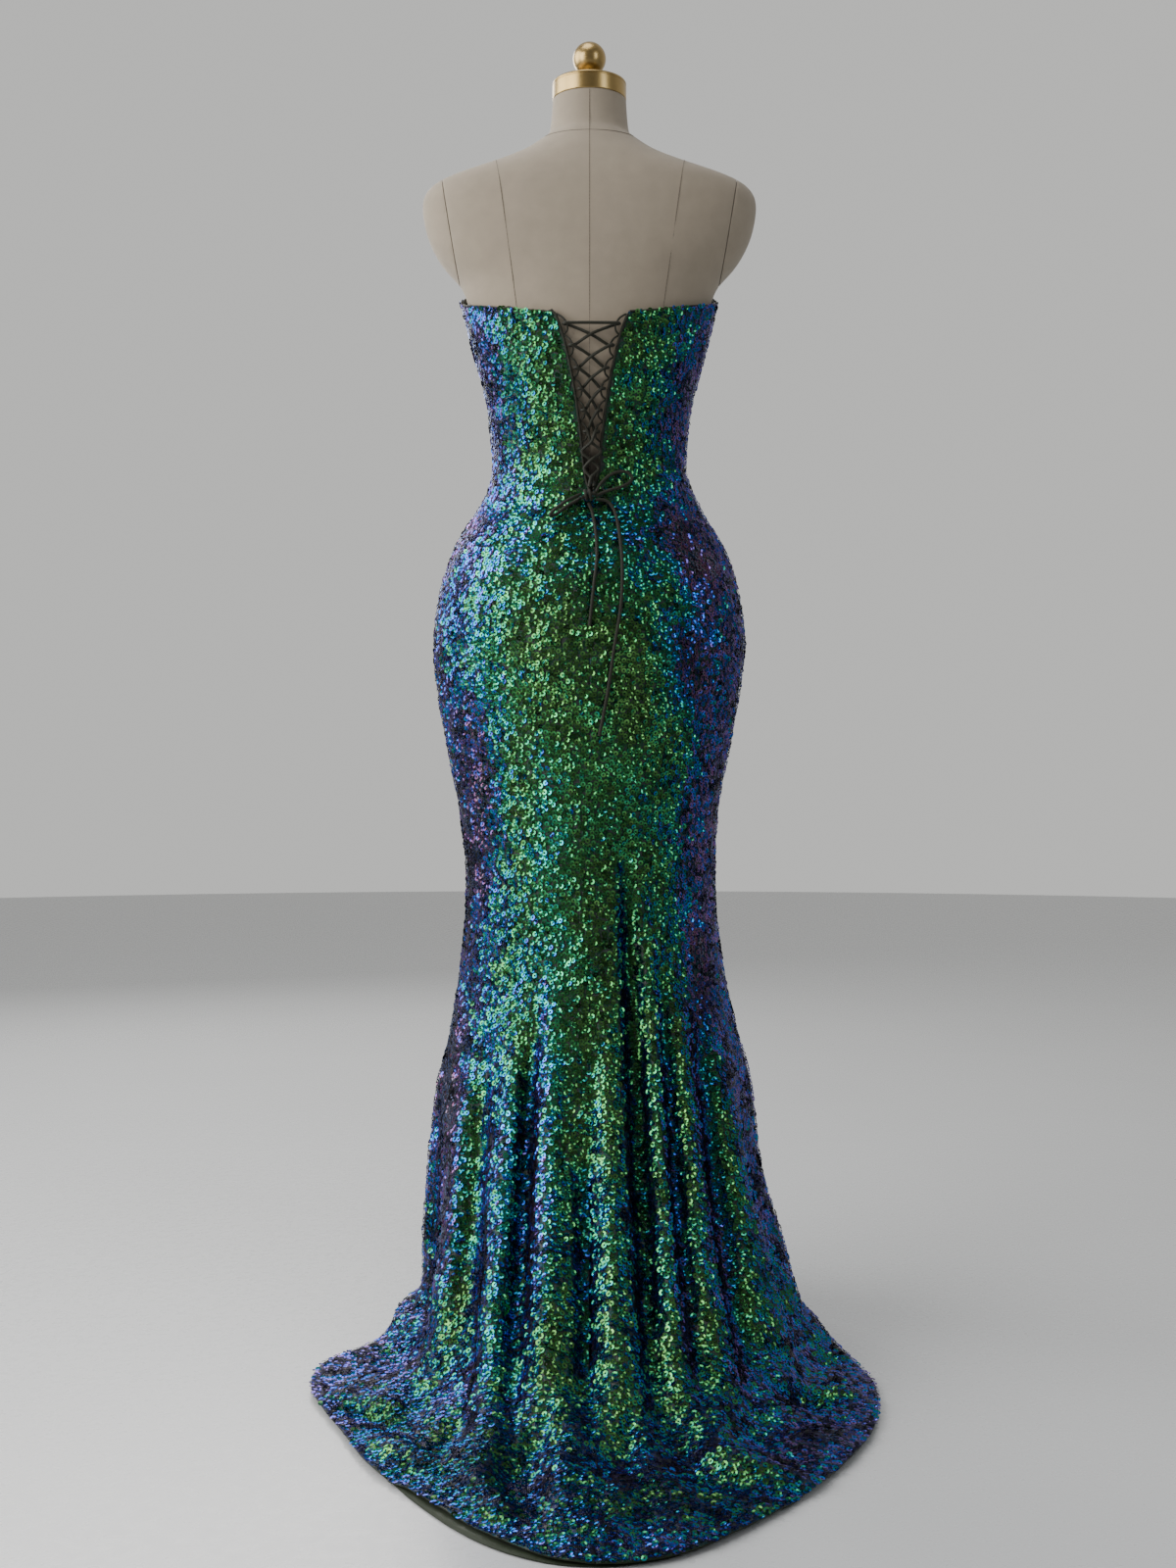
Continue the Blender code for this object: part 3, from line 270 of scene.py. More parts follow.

# Patches where the film's colour runs further towards purple, or back to green, and is brighter or darker. The
# brightness is painted light: painted highlights where the side windows' glints fall and along ridges, painted shade
# in troughs and on parts turned from the light.
# Columns: name, side, from, to, half_width, shift, shade.
PATCH_ROWS = (
    ("left bodice edge", "back", (0.132, 1.220), (0.108, 1.080), 0.022, 0.12, 0.50),
    ("left bodice blue", "back", (0.100, 1.190), (0.090, 1.090), 0.016, 0.06, 0.65),
    ("left hip blue", "back", (0.110, 1.020), (0.122, 0.890), 0.040, 0.07, 1.70),
    ("left hip cyan", "back", (0.055, 1.040), (0.070, 0.930), 0.020, 0.12, 1.70),
    ("left hip teal", "back", (0.120, 0.850), (0.105, 0.760), 0.028, 0.10, 1.15),
    ("left thigh maroon", "back", (0.142, 0.760), (0.136, 0.520), 0.020, 0.46, 0.62),
    ("left thigh indigo", "back", (0.118, 0.720), (0.108, 0.560), 0.016, 0.20, 0.80),
    ("left calf maroon", "back", (0.168, 0.400), (0.172, 0.270), 0.018, 0.46, 0.75),
    ("left calf violet", "back", (0.150, 0.300), (0.168, 0.100), 0.016, 0.26, 1.00),
    ("thigh cyan", "back", (0.052, 0.720), (0.040, 0.420), 0.022, 0.10, 1.45),
    ("calf cyan ridge", "back", (0.044, 0.420), (0.048, 0.120), 0.010, 0.12, 1.70),
    ("calf blue ridge", "back", (0.088, 0.340), (0.100, 0.060), 0.009, 0.20, 1.70),
    ("left trough purple", "back", (0.068, 0.340), (0.083, 0.040), 0.007, 0.38, 0.60),
    ("centre trough dark", "back", (0.006, 0.240), (0.003, 0.040), 0.009, 0.26, 0.40),
    ("deep trough dark", "back", (-0.042, 0.560), (-0.066, 0.030), 0.010, 0.10, 0.30),
    ("inner trough purple", "back", (-0.088, 0.420), (-0.106, 0.040), 0.008, 0.34, 0.50),
    ("seam trough violet", "back", (-0.128, 0.420), (-0.160, 0.040), 0.011, 0.24, 0.60),
    ("right ridge green", "back", (-0.104, 0.360), (-0.128, 0.050), 0.008, -0.06, 1.20),
    ("inner ridge cyan", "back", (-0.078, 0.400), (-0.086, 0.050), 0.006, 0.04, 1.40),
    ("centre ridge lime", "back", (-0.020, 0.380), (-0.022, 0.050), 0.008, -0.04, 1.25),
    ("right flare green", "back", (-0.160, 0.300), (-0.190, 0.110), 0.014, -0.16, 0.95),
    ("right hip maroon", "back", (-0.098, 1.005), (-0.132, 0.910), 0.026, 0.44, 0.90),
    ("right hip teal", "back", (-0.058, 1.000), (-0.066, 0.920), 0.022, 0.12, 0.80),
    ("right hip violet", "back", (-0.136, 0.960), (-0.156, 0.800), 0.028, 0.28, 1.00),
    ("right hip grey", "back", (-0.110, 0.860), (-0.120, 0.760), 0.028, 0.34, 0.75),
    ("right thigh violet", "back", (-0.138, 0.760), (-0.132, 0.480), 0.028, 0.24, 1.10),
    ("right knee maroon", "back", (-0.124, 0.500), (-0.140, 0.380), 0.014, 0.40, 0.75),
    ("hip olive", "back", (0.010, 0.900), (0.030, 0.840), 0.030, -0.04, 0.90),
    ("seat lime", "back", (-0.052, 0.820), (-0.048, 0.740), 0.022, -0.14, 1.25),
    ("seat emerald", "back", (0.020, 0.780), (-0.010, 0.640), 0.040, 0.02, 1.20),
    ("bodice right edge", "back", (-0.128, 1.220), (-0.110, 1.060), 0.018, 0.12, 0.90),
    ("bodice right blue", "back", (-0.104, 1.200), (-0.092, 1.080), 0.014, 0.08, 0.85),
    ("bodice left emerald", "back", (0.064, 1.200), (0.050, 1.060), 0.026, -0.04, 0.75),
    ("train brown", "floor", (0.120, 0.620), (-0.160, 0.590), 0.050, -0.22, 0.55),
    ("train centre blue", "floor", (0.060, 0.570), (0.000, 0.600), 0.026, 0.14, 0.80),
    ("train left dark", "floor", (0.200, 0.450), (0.060, 0.560), 0.050, -0.24, 0.45),
    ("hem teal", "back", (0.240, 0.060), (-0.240, 0.060), 0.060, -0.14, 0.90),
    ("left wing grey", "floor", (0.270, 0.260), (0.200, 0.420), 0.040, -0.12, 0.62),
    ("left wing cyan", "floor", (0.212, 0.500), (0.196, 0.470), 0.014, -0.10, 1.80),
    ("right wing purple", "floor", (-0.200, 0.470), (-0.260, 0.400), 0.026, 0.26, 0.60),
    ("right wing green", "floor", (-0.270, 0.290), (-0.240, 0.230), 0.024, -0.04, 1.00),
    ("front bust blue", "front", (0.095, 1.230), (0.100, 1.120), 0.030, 0.16, 1.10),
    ("front bust maroon", "front", (-0.110, 1.220), (-0.105, 1.120), 0.022, 0.34, 0.80),
    ("front centre lime", "front", (0.010, 1.160), (-0.006, 1.060), 0.030, -0.08, 1.10),
    ("front hip cyan", "front", (-0.070, 0.980), (-0.080, 0.880), 0.030, 0.12, 1.40),
    ("front hip olive", "front", (0.030, 0.880), (0.010, 0.800), 0.034, -0.12, 0.80),
    ("front hip violet", "front", (0.130, 0.940), (0.145, 0.820), 0.026, 0.26, 0.90),
    ("front thigh teal", "front", (0.040, 0.700), (0.030, 0.480), 0.030, 0.08, 1.20),
    ("front thigh maroon", "front", (-0.130, 0.700), (-0.128, 0.540), 0.022, 0.38, 0.75),
    ("front trough left", "front", (0.085, 0.360), (0.100, 0.040), 0.010, 0.30, 0.45),
    ("front trough centre", "front", (-0.012, 0.370), (-0.018, 0.040), 0.009, 0.12, 0.40),
    ("front trough right", "front", (-0.092, 0.430), (-0.118, 0.040), 0.010, 0.34, 0.50),
    ("front ridge cyan", "front", (0.036, 0.400), (0.045, 0.050), 0.009, 0.08, 1.50),
    ("left side violet", "left", (0.010, 1.000), (-0.010, 0.840), 0.034, 0.22, 0.90),
    ("left side green", "left", (0.000, 0.700), (0.010, 0.500), 0.036, -0.06, 1.00),
    ("right side blue", "right", (0.010, 0.980), (0.000, 0.840), 0.034, 0.16, 0.95),
    ("right side teal", "right", (0.000, 0.640), (0.010, 0.440), 0.034, 0.04, 1.10),
)

# Half width of the laced V at each height.
V_COLUMNS = ("name", "z", "half")
V_ROWS = (
    ("closed", 1.0100, 0.0000),
    ("point", 1.0180, 0.0038),
    ("low", 1.0350, 0.0070),
    ("lower", 1.0650, 0.0105),
    ("middle", 1.1000, 0.0142),
    ("upper middle", 1.1355, 0.0192),
    ("upper", 1.1625, 0.0240),
    ("high", 1.1940, 0.0315),
    ("near top", 1.2140, 0.0370),
    ("corner", 1.2400, 0.0475),
)
V_CENTRE = -0.0022

# Heights where the lace turns: hooked round a scallop of the loop strip, or on the cloth, aside by that much.
# Columns: name, z, hooked, aside.
LACE_ROWS = (
    ("top", 1.2155, True, 0.0),
    ("second", 1.1900, True, 0.0),
    ("third", 1.1640, True, 0.0),
    ("fourth", 1.1400, True, 0.0),
    ("fifth", 1.1150, True, 0.0),
    ("sixth", 1.0900, True, 0.0),
    ("seventh", 1.0660, False, 0.0105),
    ("eighth", 1.0450, False, 0.0080),
    ("knot", 1.0196, False, 0.0027),
)
LOOP_ENDS = (1.2280, 1.0775)
LACE_UNDER = -0.0025
LACE_ON_CLOTH = 0.0046
LACE_CROSSING = 0.0046
HOOK_REACH = 0.0042
LOOP_CORD = 0.0024
LOOP_DEPTH = 0.0072
LOOP_TIP_LIFT = 0.0015
HOLD_PASSES = 3

# Routes of the bow from the middle of its knot: towards the wearer's left, up, and out of the cloth.
KNOT_CENTRE = (0.0012, 1.0090, 0.0092)
# Columns: across, up, out.
BOW_ROUTES = (
    ("bow_loop_right", "object", (
        (-0.0086, 0.0052, 0.0072), (-0.0150, 0.0159, 0.0085), (-0.0260, 0.0265, 0.0100),
        (-0.0370, 0.0305, 0.0105), (-0.0455, 0.0290, 0.0100), (-0.0495, 0.0228, 0.0095),
        (-0.0455, 0.0158, 0.0088), (-0.0360, 0.0106, 0.0080), (-0.0240, 0.0072, 0.0074),
        (-0.0087, 0.0002, 0.0072),
    )),
    ("bow_loop_left", "object", (
        (0.0084, -0.0012, 0.0050), (0.0150, -0.0051, 0.0045), (0.0260, -0.0120, 0.0045),
        (0.0375, -0.0230, 0.0070), (0.0430, -0.0285, 0.0135), (0.0380, -0.0255, 0.0200),
        (0.0260, -0.0140, 0.0200), (0.0160, -0.0052, 0.0150), (0.0086, 0.0008, 0.0104),
    )),
    ("lace_tail_right", "bare", (
        (-0.0084, -0.0050, 0.0070), (-0.0165, -0.0042, 0.0062), (-0.0240, -0.0075, 0.0050),
        (-0.0305, -0.0180, 0.0045), (-0.0355, -0.0435, 0.0045), (-0.0390, -0.0816, 0.0045),
        (-0.0375, -0.1310, 0.0045), (-0.0300, -0.1810, 0.0045), (-0.0225, -0.2320, 0.0046),
        (-0.0125, -0.2850, 0.0048),
    )),
    ("lace_tail_left", "bare", (
        (0.0000, -0.0085, 0.0060), (-0.0022, -0.0132, 0.0050), (-0.0042, -0.0185, 0.0045),
        (-0.0085, -0.0430, 0.0045), (-0.0098, -0.0735, 0.0045), (-0.0066, -0.1060, 0.0045),
        (-0.0012, -0.1565, 0.0045),
    )),
)

# Sewn seams of the dress form: across and up, on the back or on the front.
# Columns: name, facing, points.
SEAM_ROWS = (
    ("centre back", 1, ((0.0, 1.517), (0.0, 1.300), (0.0, 1.020))),
    ("princess back left", 1, (
        (0.116, 1.440), (0.109, 1.400), (0.098, 1.320), (0.087, 1.235), (0.080, 1.180),
    )),
    ("princess back right", 1, (
        (-0.118, 1.440), (-0.111, 1.400), (-0.100, 1.320), (-0.088, 1.235), (-0.080, 1.180),
    )),
    ("nape", 1, ((0.054, 1.4640), (0.030, 1.4632), (0.0, 1.4627), (-0.030, 1.4632), (-0.054, 1.4640))),
    ("centre front", -1, ((0.0, 1.517), (0.0, 1.300), (0.0, 1.230))),
    ("princess front left", -1, ((0.110, 1.438), (0.102, 1.380), (0.092, 1.300), (0.084, 1.240))),
    ("princess front right", -1, ((-0.110, 1.438), (-0.102, 1.380), (-0.092, 1.300), (-0.084, 1.240))),
    ("throat", -1, ((0.046, 1.4720), (0.024, 1.4640), (0.0, 1.4610), (-0.024, 1.4640), (-0.046, 1.4720))),
)
# A painted shadow on the cover low in the V, where the narrow opening lies in shade: full below the first height, gone
# above the second.
V_SHADOW_BELOW = (1.062, 1.088)
ARM_CUT_TOP = (0.182, 1.416)
ARM_CUT_BOTTOM = (0.161, 1.2875)
ARM_SEAM = 0.0008

# Sides of one ring: enough to look round, few enough for tens of thousands of them.
SEQUIN_SIDES = 8
SEQUIN_SIZES = (0.92, 1.06)  # shares of the diameter
SEQUIN_LIFTS = (0.0007, 0.0019)  # above the cloth
LOWEST_SEQUIN = 0.0046  # keeps the hem's sequins off the floor
MOST_SEQUINS = 300000.0  # to a square metre, before the spacing thins them
PATCH_LEAN = 1.6
OWN_LEAN = 0.19
BARE_BAND = 0.0042  # without sequins beside the V
ROLLED_TOP_RADIUS = 0.0013
ROLLED_V_RADIUS = 0.0016
FACING_WAVE = 0.0009
FACING_THICKNESS = 0.0008

SLOT_OF = {
    "Sequin": "sequin_cloth",
    "Net Ground": "sequin_cloth",
    "Olive Lining": "olive_lining",
    "Olive Satin Cord": "olive_cord",
    "Form Linen": "linen",
    "Seam Thread": "linen",
    "Satin Brass": "brass",
    "Stand Steel": "black_steel",
}


# ---------------------------------------------------------------- settings
def metre_setting(name, description, default, low, high):
    """A length that the panel shows in scene units."""
    return bpy.props.FloatProperty(
        name=name, description=description, default=default, min=low, max=high, unit="LENGTH",
    )


def colour_setting(name, description, default):
    """A linear colour, from 0 to 1 in each part."""
    return bpy.props.FloatVectorProperty(
        name=name, description=description, subtype="COLOR", default=default, min=0.0, max=1.0,
    )


class ClothSettings(bpy.types.PropertyGroup):
    """Sizes and colours of the gown's cloth."""

    thickness: metre_setting(
        "Cloth Thickness", "Net ground and lining together", 0.0014, 0.0005, 0.003,
    )
    waviness: metre_setting(
        "Waviness", "Height of the cloth's small uneven waves", 0.0016, 0.0, 0.01,
    )
    ground: colour_setting(
        "Net Ground", "Colour of the net between the sequins", (0.004, 0.012, 0.010),
    )
    lining: colour_setting(
        "Lining", "Colour of the lining and the hem facing", (0.012, 0.019, 0.008),
    )


class SequinSettings(bpy.types.PropertyGroup):
    """Sizes and spacing of the sequins."""

    diameter: metre_setting(
        "Sequin Diameter", "Across the outer edge", 0.0064, 0.003, 0.012,
    )
    hole: bpy.props.FloatProperty(
        name="Hole", description="Hole as a share of the diameter", default=0.38, min=0.1, max=0.8,
        subtype="FACTOR",
    )
    cup: metre_setting(
        "Cup", "How far the outer edge stands up from the hole", 0.0003, 0.0, 0.002,
    )
    spacing: metre_setting(
        "Least Spacing", "Between the middles of neighbours", 0.0046, 0.003, 0.02,
    )
    tilt: bpy.props.FloatProperty(
        name="Tilt", description="How far a patch of sequins leans", default=math.radians(12.0),
        min=0.0, max=1.0, subtype="ANGLE",
    )
    seed: bpy.props.IntProperty(name="Seed", description="Start of the random draws", default=7, min=1)


class LacingSettings(bpy.types.PropertyGroup):
    """Sizes and colour of the lacing."""

    diameter: metre_setting(
        "Lace", "Across the satin cord", 0.0040, 0.002, 0.008,
    )
    colour: colour_setting(
        "Lace Colour", "Dark olive satin", (0.0125, 0.0130, 0.0065),
    )


class FormSettings(bpy.types.PropertyGroup):
    """Colours and sizes of the dress form."""

    linen: colour_setting(
        "Linen", "Colour of the form's cover", (0.280, 0.232, 0.172),
    )
    brass: colour_setting(
        "Brass", "Colour of the neck plate and the ball", (0.480, 0.335, 0.135),
    )
    seam_cord: metre_setting(
        "Seam", "Width of a sewn seam's ridge", 0.0008, 0.0004, 0.004,
    )


class StudioSettings(bpy.types.PropertyGroup):
    """The camera, floor and light."""

    camera_place: bpy.props.FloatVectorProperty(
        name="Camera", description="Where the camera stands", subtype="TRANSLATION",
        default=(0.0018, 2.25, 0.667),
    )
    lens: bpy.props.FloatProperty(
        name="Lens", description="Focal length in millimetres", default=41.4, min=10.0, max=200.0,
    )
    floor: colour_setting(
        "Floor", "Colour of the floor", (0.52, 0.53, 0.54),
    )
    window_power: bpy.props.FloatProperty(
        name="Window Power", description="Strength of the large side light", default=150.0, min=0.0,
        unit="POWER",
    )


# ---------------------------------------------------------------- curves and tables
def column(rows, names, name):
    place = names.index(name)
    return [row[place] for row in rows]


def smooth_read(places, values, place):
    """A smooth curve through the values, read at one place, which is held inside the ends."""
    place = min(max(place, places[0]), places[-1])
    i = min(max(bisect.bisect_right(places, place) - 1, 0), len(places) - 2)
    span = places[i + 1] - places[i]
    part = (place - places[i]) / span

    def slope(k):
        low, high = max(k - 1, 0), min(k + 1, len(places) - 1)
        return (values[high] - values[low]) / (places[high] - places[low])

    rise = values[i + 1] - values[i]
    start, end = slope(i) * span, slope(i + 1) * span
    return (
        values[i]
        + part * start
        + part * part * (3 * rise - 2 * start - end)
        + part ** 3 * (start + end - 2 * rise)
    )


def smooth_route(points, count):
    """Points at even steps along a smooth curve through the given ones."""
    lengths = [0.0]
    for first, second in zip(points, points[1:]):
        lengths.append(lengths[-1] + (Vector(second) - Vector(first)).length)
    places = [lengths[-1] * step / (count - 1) for step in range(count)]
    size = len(points[0])
    parts = [[p[k] for p in points] for k in range(size)]
    return [Vector([smooth_read(lengths, part, place) for part in parts]) for place in places]


def thinned(points, least):
    """The points without those nearer than that to the one before."""
    kept = [points[0]]
    for point in points[1:]:
        if (point - kept[-1]).length > least:
            kept.append(point)
    return kept


# ---------------------------------------------------------------- shared shader parts
def shader_group(name, inputs, outputs):
    """An empty shader group with named float, colour or vector sockets, and its two end nodes."""
    group = bpy.data.node_groups.new(name, "ShaderNodeTree")
    for way, sockets in (("INPUT", inputs), ("OUTPUT", outputs)):
        for socket_name, kind, default in sockets:
            socket = group.interface.new_socket(socket_name, in_out=way, socket_type=f"NodeSocket{kind}")
            if default is not None:
                socket.default_value = default
    return group, group.nodes.new("NodeGroupInput"), group.nodes.new("NodeGroupOutput")


def node_of(tree, kind, links=None, **settings):
    """A node with its settings, and its inputs linked or set by name or number."""
    node = tree.nodes.new(kind)
    for name, value in settings.items():
        setattr(node, name, value)
    for place, value in (links or {}).items():
        if isinstance(value, bpy.types.NodeSocket):
            tree.links.new(value, node.inputs[place])
        else:
            node.inputs[place].default_value = value
    return node


def ramp_of(tree, factor, stops, interpolation="LINEAR"):
    """A colour ramp with stops of place and colour."""
    node = node_of(tree, "ShaderNodeValToRGB", {0: factor})
    node.color_ramp.interpolation = interpolation
    while len(node.color_ramp.elements) < len(stops):
        node.color_ramp.elements.new(1.0)
    for element, (place, colour) in zip(node.color_ramp.elements, stops):
        element.position = place
        element.color = (*colour, 1.0)
    return node.outputs["Color"]


def maths(tree, operation, first, second=0.0, clamp=False):
    node = node_of(tree, "ShaderNodeMath", {0: first, 1: second}, operation=operation, use_clamp=clamp)
    return node.outputs[0]


def mixed(tree, factor, first, second, blend="MIX"):
    """Two colours mixed."""
    node = node_of(tree, "ShaderNodeMix", data_type="RGBA", blend_type=blend)
    for socket, value in ((node.inputs[0], factor), (node.inputs[6], first), (node.inputs[7], second)):
        if isinstance(value, bpy.types.NodeSocket):
            tree.links.new(value, socket)
        else:
            socket.default_value = value if isinstance(value, float) else (*value[:3], 1.0)
    return node.outputs[2]


def weave_group():
    """Threads over and under each other. Mask is the thread's crown, Slub its uneven dye."""
    group, start, end = shader_group(
        "Weave",
        (("Vector", "Vector", None), ("Threads per Metre", "Float", 1500.0), ("Unevenness", "Float", 0.3)),
        (("Mask", "Float", None), ("Slub", "Float", None)),
    )
    wobble = node_of(group, "ShaderNodeTexNoise", {"Vector": start.outputs[0], "Scale": 240.0, "Detail": 2.0})
    moved = node_of(group, "ShaderNodeVectorMath", {0: wobble.outputs["Color"], 1: (0.0006, 0.0006, 0.0006)},
                    operation="MULTIPLY")
    place = node_of(
        group, "ShaderNodeVectorMath", {0: start.outputs[0], 1: moved.outputs[0]}, operation="ADD",
    )
    crowns = []
    for direction in ("X", "Z"):
        wave = node_of(group, "ShaderNodeTexWave", {"Vector": place.outputs[0], "Distortion": 0.0},
                       wave_type="BANDS", bands_direction=direction)
        scale = maths(group, "MULTIPLY", start.outputs[1], 1.0 / math.tau)
        group.links.new(scale, wave.inputs["Scale"])
        crowns.append(wave.outputs["Fac"])
    mask = maths(group, "MAXIMUM", crowns[0], crowns[1])
    slub = node_of(group, "ShaderNodeTexNoise", {"Vector": place.outputs[0], "Scale": 55.0, "Detail": 4.0})
    uneven = maths(group, "MULTIPLY", maths(group, "SUBTRACT", slub.outputs["Fac"], 0.5), start.outputs[2])
    group.links.new(mask, end.inputs[0])
    group.links.new(maths(group, "ADD", uneven, 0.5), end.inputs[1])
    return group


def wear_group():
    """Soft handling marks and settled dust: one mask of patches, and one of fine grain."""
    group, start, end = shader_group(
        "Soft Wear",
        (("Vector", "Vector", None), ("Patch Scale", "Float", 9.0), ("Grain Scale", "Float", 900.0)),
        (("Patches", "Float", None), ("Grain", "Float", None)),
    )
    patches = node_of(
        group, "ShaderNodeTexNoise", {"Vector": start.outputs[0], "Detail": 5.0, "Roughness": 0.6},
    )
    grain = node_of(group, "ShaderNodeTexNoise", {"Vector": start.outputs[0], "Detail": 3.0})
    group.links.new(start.outputs[1], patches.inputs["Scale"])
    group.links.new(start.outputs[2], grain.inputs["Scale"])
    group.links.new(patches.outputs["Fac"], end.inputs[0])
    group.links.new(grain.outputs["Fac"], end.inputs[1])
    return group


def brushed_group():
    """Fine turned lines round the pole's axis."""
    group, start, end = shader_group(
        "Turned Lines", (("Vector", "Vector", None), ("Lines per Metre", "Float", 2600.0)),
        (("Lines", "Float", None),),
    )
    parts = node_of(group, "ShaderNodeSeparateXYZ", {0: start.outputs[0]})
    around = node_of(group, "ShaderNodeCombineXYZ", {2: parts.outputs[2]})
    lines = node_of(group, "ShaderNodeTexNoise", {"Vector": around.outputs[0], "Detail": 3.0})
    group.links.new(start.outputs[1], lines.inputs["Scale"])
    group.links.new(lines.outputs["Fac"], end.inputs[0])
    return group


GROUP_MAKERS = {"Weave": weave_group, "Soft Wear": wear_group, "Turned Lines": brushed_group}


def placed_group(tree, name, **values):
    """The shared group of that name in a material, fed with object coordinates unless told otherwise."""
    made = bpy.data.node_groups.get(name) or GROUP_MAKERS[name]()
    node = tree.nodes.new("ShaderNodeGroup")
    node.node_tree = made
    vector = values.pop("vector", None) or node_of(tree, "ShaderNodeTexCoord").outputs["Object"]
    tree.links.new(vector, node.inputs["Vector"])
    for socket_name, value in values.items():
        node.inputs[socket_name.replace("_", " ").title().replace(" Per ", " per ")].default_value = value
    return node


def new_material(name):
    """An empty material with a Principled shader, and its tree and shader."""
    made = bpy.data.materials.new(name)
    made.use_nodes = True
    return made, made.node_tree, made.node_tree.nodes["Principled BSDF"]


def bump_into(tree, shader, height, strength, distance):
    bump = node_of(tree, "ShaderNodeBump", {"Height": height, "Strength": strength, "Distance": distance})
    tree.links.new(bump.outputs[0], shader.inputs["Normal"])


# ---------------------------------------------------------------- finishes
# Colours of the sequins' film as they turn away from the eye.
FILM_STOPS = (
    (0.00, (0.080, 0.205, 0.055)),
    (0.08, (0.050, 0.230, 0.064)),
    (0.18, (0.028, 0.225, 0.088)),
    (0.28, (0.010, 0.205, 0.140)),
    (0.38, (0.005, 0.170, 0.280)),
    (0.48, (0.006, 0.100, 0.480)),
    (0.58, (0.066, 0.074, 0.410)),
    (0.69, (0.150, 0.080, 0.250)),
    (0.81, (0.160, 0.052, 0.110)),
    (1.00, (0.130, 0.115, 0.145)),
)


def sequin_finish():
    """Metallised film whose colour runs from green through blue to purple as it turns."""
    made, tree, shader = new_material("Sequin")
    own = node_of(tree, "ShaderNodeAttribute", attribute_name="sequin")
    parts = node_of(tree, "ShaderNodeSeparateColor", {0: own.outputs["Color"]})
    facing = node_of(tree, "ShaderNodeLayerWeight", {"Blend": 0.42})
    turned = maths(tree, "MULTIPLY", facing.outputs["Facing"], 1.35)
    shift = maths(tree, "SUBTRACT", parts.outputs["Red"], 0.5)
    film = ramp_of(tree, maths(tree, "ADD", turned, shift, clamp=True), FILM_STOPS)
    # The stored shade scales the film's colour: random tone from sequin to sequin, with the patches' painted
    # highlights and painted shade.
    bright = node_of(tree, "ShaderNodeCombineColor", {0: parts.outputs["Green"], 1: parts.outputs["Green"],
                                                      2: parts.outputs["Green"]})
    shaded = mixed(tree, 1.0, film, bright.outputs[0], blend="MULTIPLY")
    tree.links.new(shaded, shader.inputs["Base Color"])
    wear = placed_group(tree, "Soft Wear", patch_scale=60.0, grain_scale=1400.0)
    rough = maths(tree, "ADD", maths(tree, "MULTIPLY", wear.outputs["Grain"], 0.16), 0.08)
    tree.links.new(rough, shader.inputs["Roughness"])
    shader.inputs["Metallic"].default_value = 0.94
    shader.inputs["Specular Tint"].default_value = (0.46, 0.58, 0.94, 1.0)
    bump_into(tree, shader, wear.outputs["Patches"], 0.25, 0.0006)
    return made


def ground_finish(settings):
    """Dark net with a deeper layer of small glints, as of sequins that lie under others."""
    made, tree, shader = new_material("Net Ground")
    vector = node_of(tree, "ShaderNodeTexCoord").outputs["Object"]
    weave = placed_group(tree, "Weave", vector=vector, threads_per_metre=1100.0, unevenness=0.6)
    cells = node_of(tree, "ShaderNodeTexVoronoi", {"Vector": vector, "Scale": 210.0, "Randomness": 0.9})
    rings = ramp_of(tree, cells.outputs["Distance"], (
        (0.20, (0.0, 0.0, 0.0)), (0.30, (1.0, 1.0, 1.0)), (0.52, (1.0, 1.0, 1.0)), (0.62, (0.0, 0.0, 0.0)),
    ))
    facing = node_of(tree, "ShaderNodeLayerWeight", {"Blend": 0.42})
    wear = placed_group(tree, "Soft Wear", vector=vector, patch_scale=24.0, grain_scale=700.0)
    place = maths(tree, "ADD", maths(tree, "MULTIPLY", facing.outputs["Facing"], 0.8),
                  maths(tree, "MULTIPLY", wear.outputs["Patches"], 0.35), clamp=True)
    glow = mixed(tree, 1.0, ramp_of(tree, place, FILM_STOPS), (0.22, 0.22, 0.22), blend="MULTIPLY")
    dim = tuple(part * 0.4 for part in settings.ground)
    net = mixed(tree, weave.outputs["Mask"], dim, tuple(settings.ground))
    tree.links.new(mixed(tree, rings, net, glow), shader.inputs["Base Color"])
    tree.links.new(maths(tree, "MULTIPLY", rings, 0.7), shader.inputs["Metallic"])
    shader.inputs["Roughness"].default_value = 0.48
    bump_into(tree, shader, maths(tree, "ADD", rings, weave.outputs["Mask"]), 0.5, 0.0006)
    return made


def lining_finish(settings):
    """Soft dull satin in dark olive."""
    made, tree, shader = new_material("Olive Lining")
    weave = placed_group(tree, "Weave", threads_per_metre=2600.0, unevenness=0.5)
    wear = placed_group(tree, "Soft Wear", patch_scale=14.0, grain_scale=600.0)
    dark = tuple(part * 0.70 for part in settings.lining)
    pale = tuple(part * 1.25 for part in settings.lining)
    body = mixed(tree, wear.outputs["Patches"], dark, pale)
    tree.links.new(mixed(tree, maths(tree, "MULTIPLY", weave.outputs["Mask"], 0.35), body, pale),
                   shader.inputs["Base Color"])
    tree.links.new(maths(tree, "ADD", maths(tree, "MULTIPLY", weave.outputs["Slub"], 0.3), 0.35),
                   shader.inputs["Roughness"])
    shader.inputs["Sheen Weight"].default_value = 0.06
    shader.inputs["Specular IOR Level"].default_value = 0.15
    bump_into(tree, shader, weave.outputs["Mask"], 0.35, 0.0003)
    return made


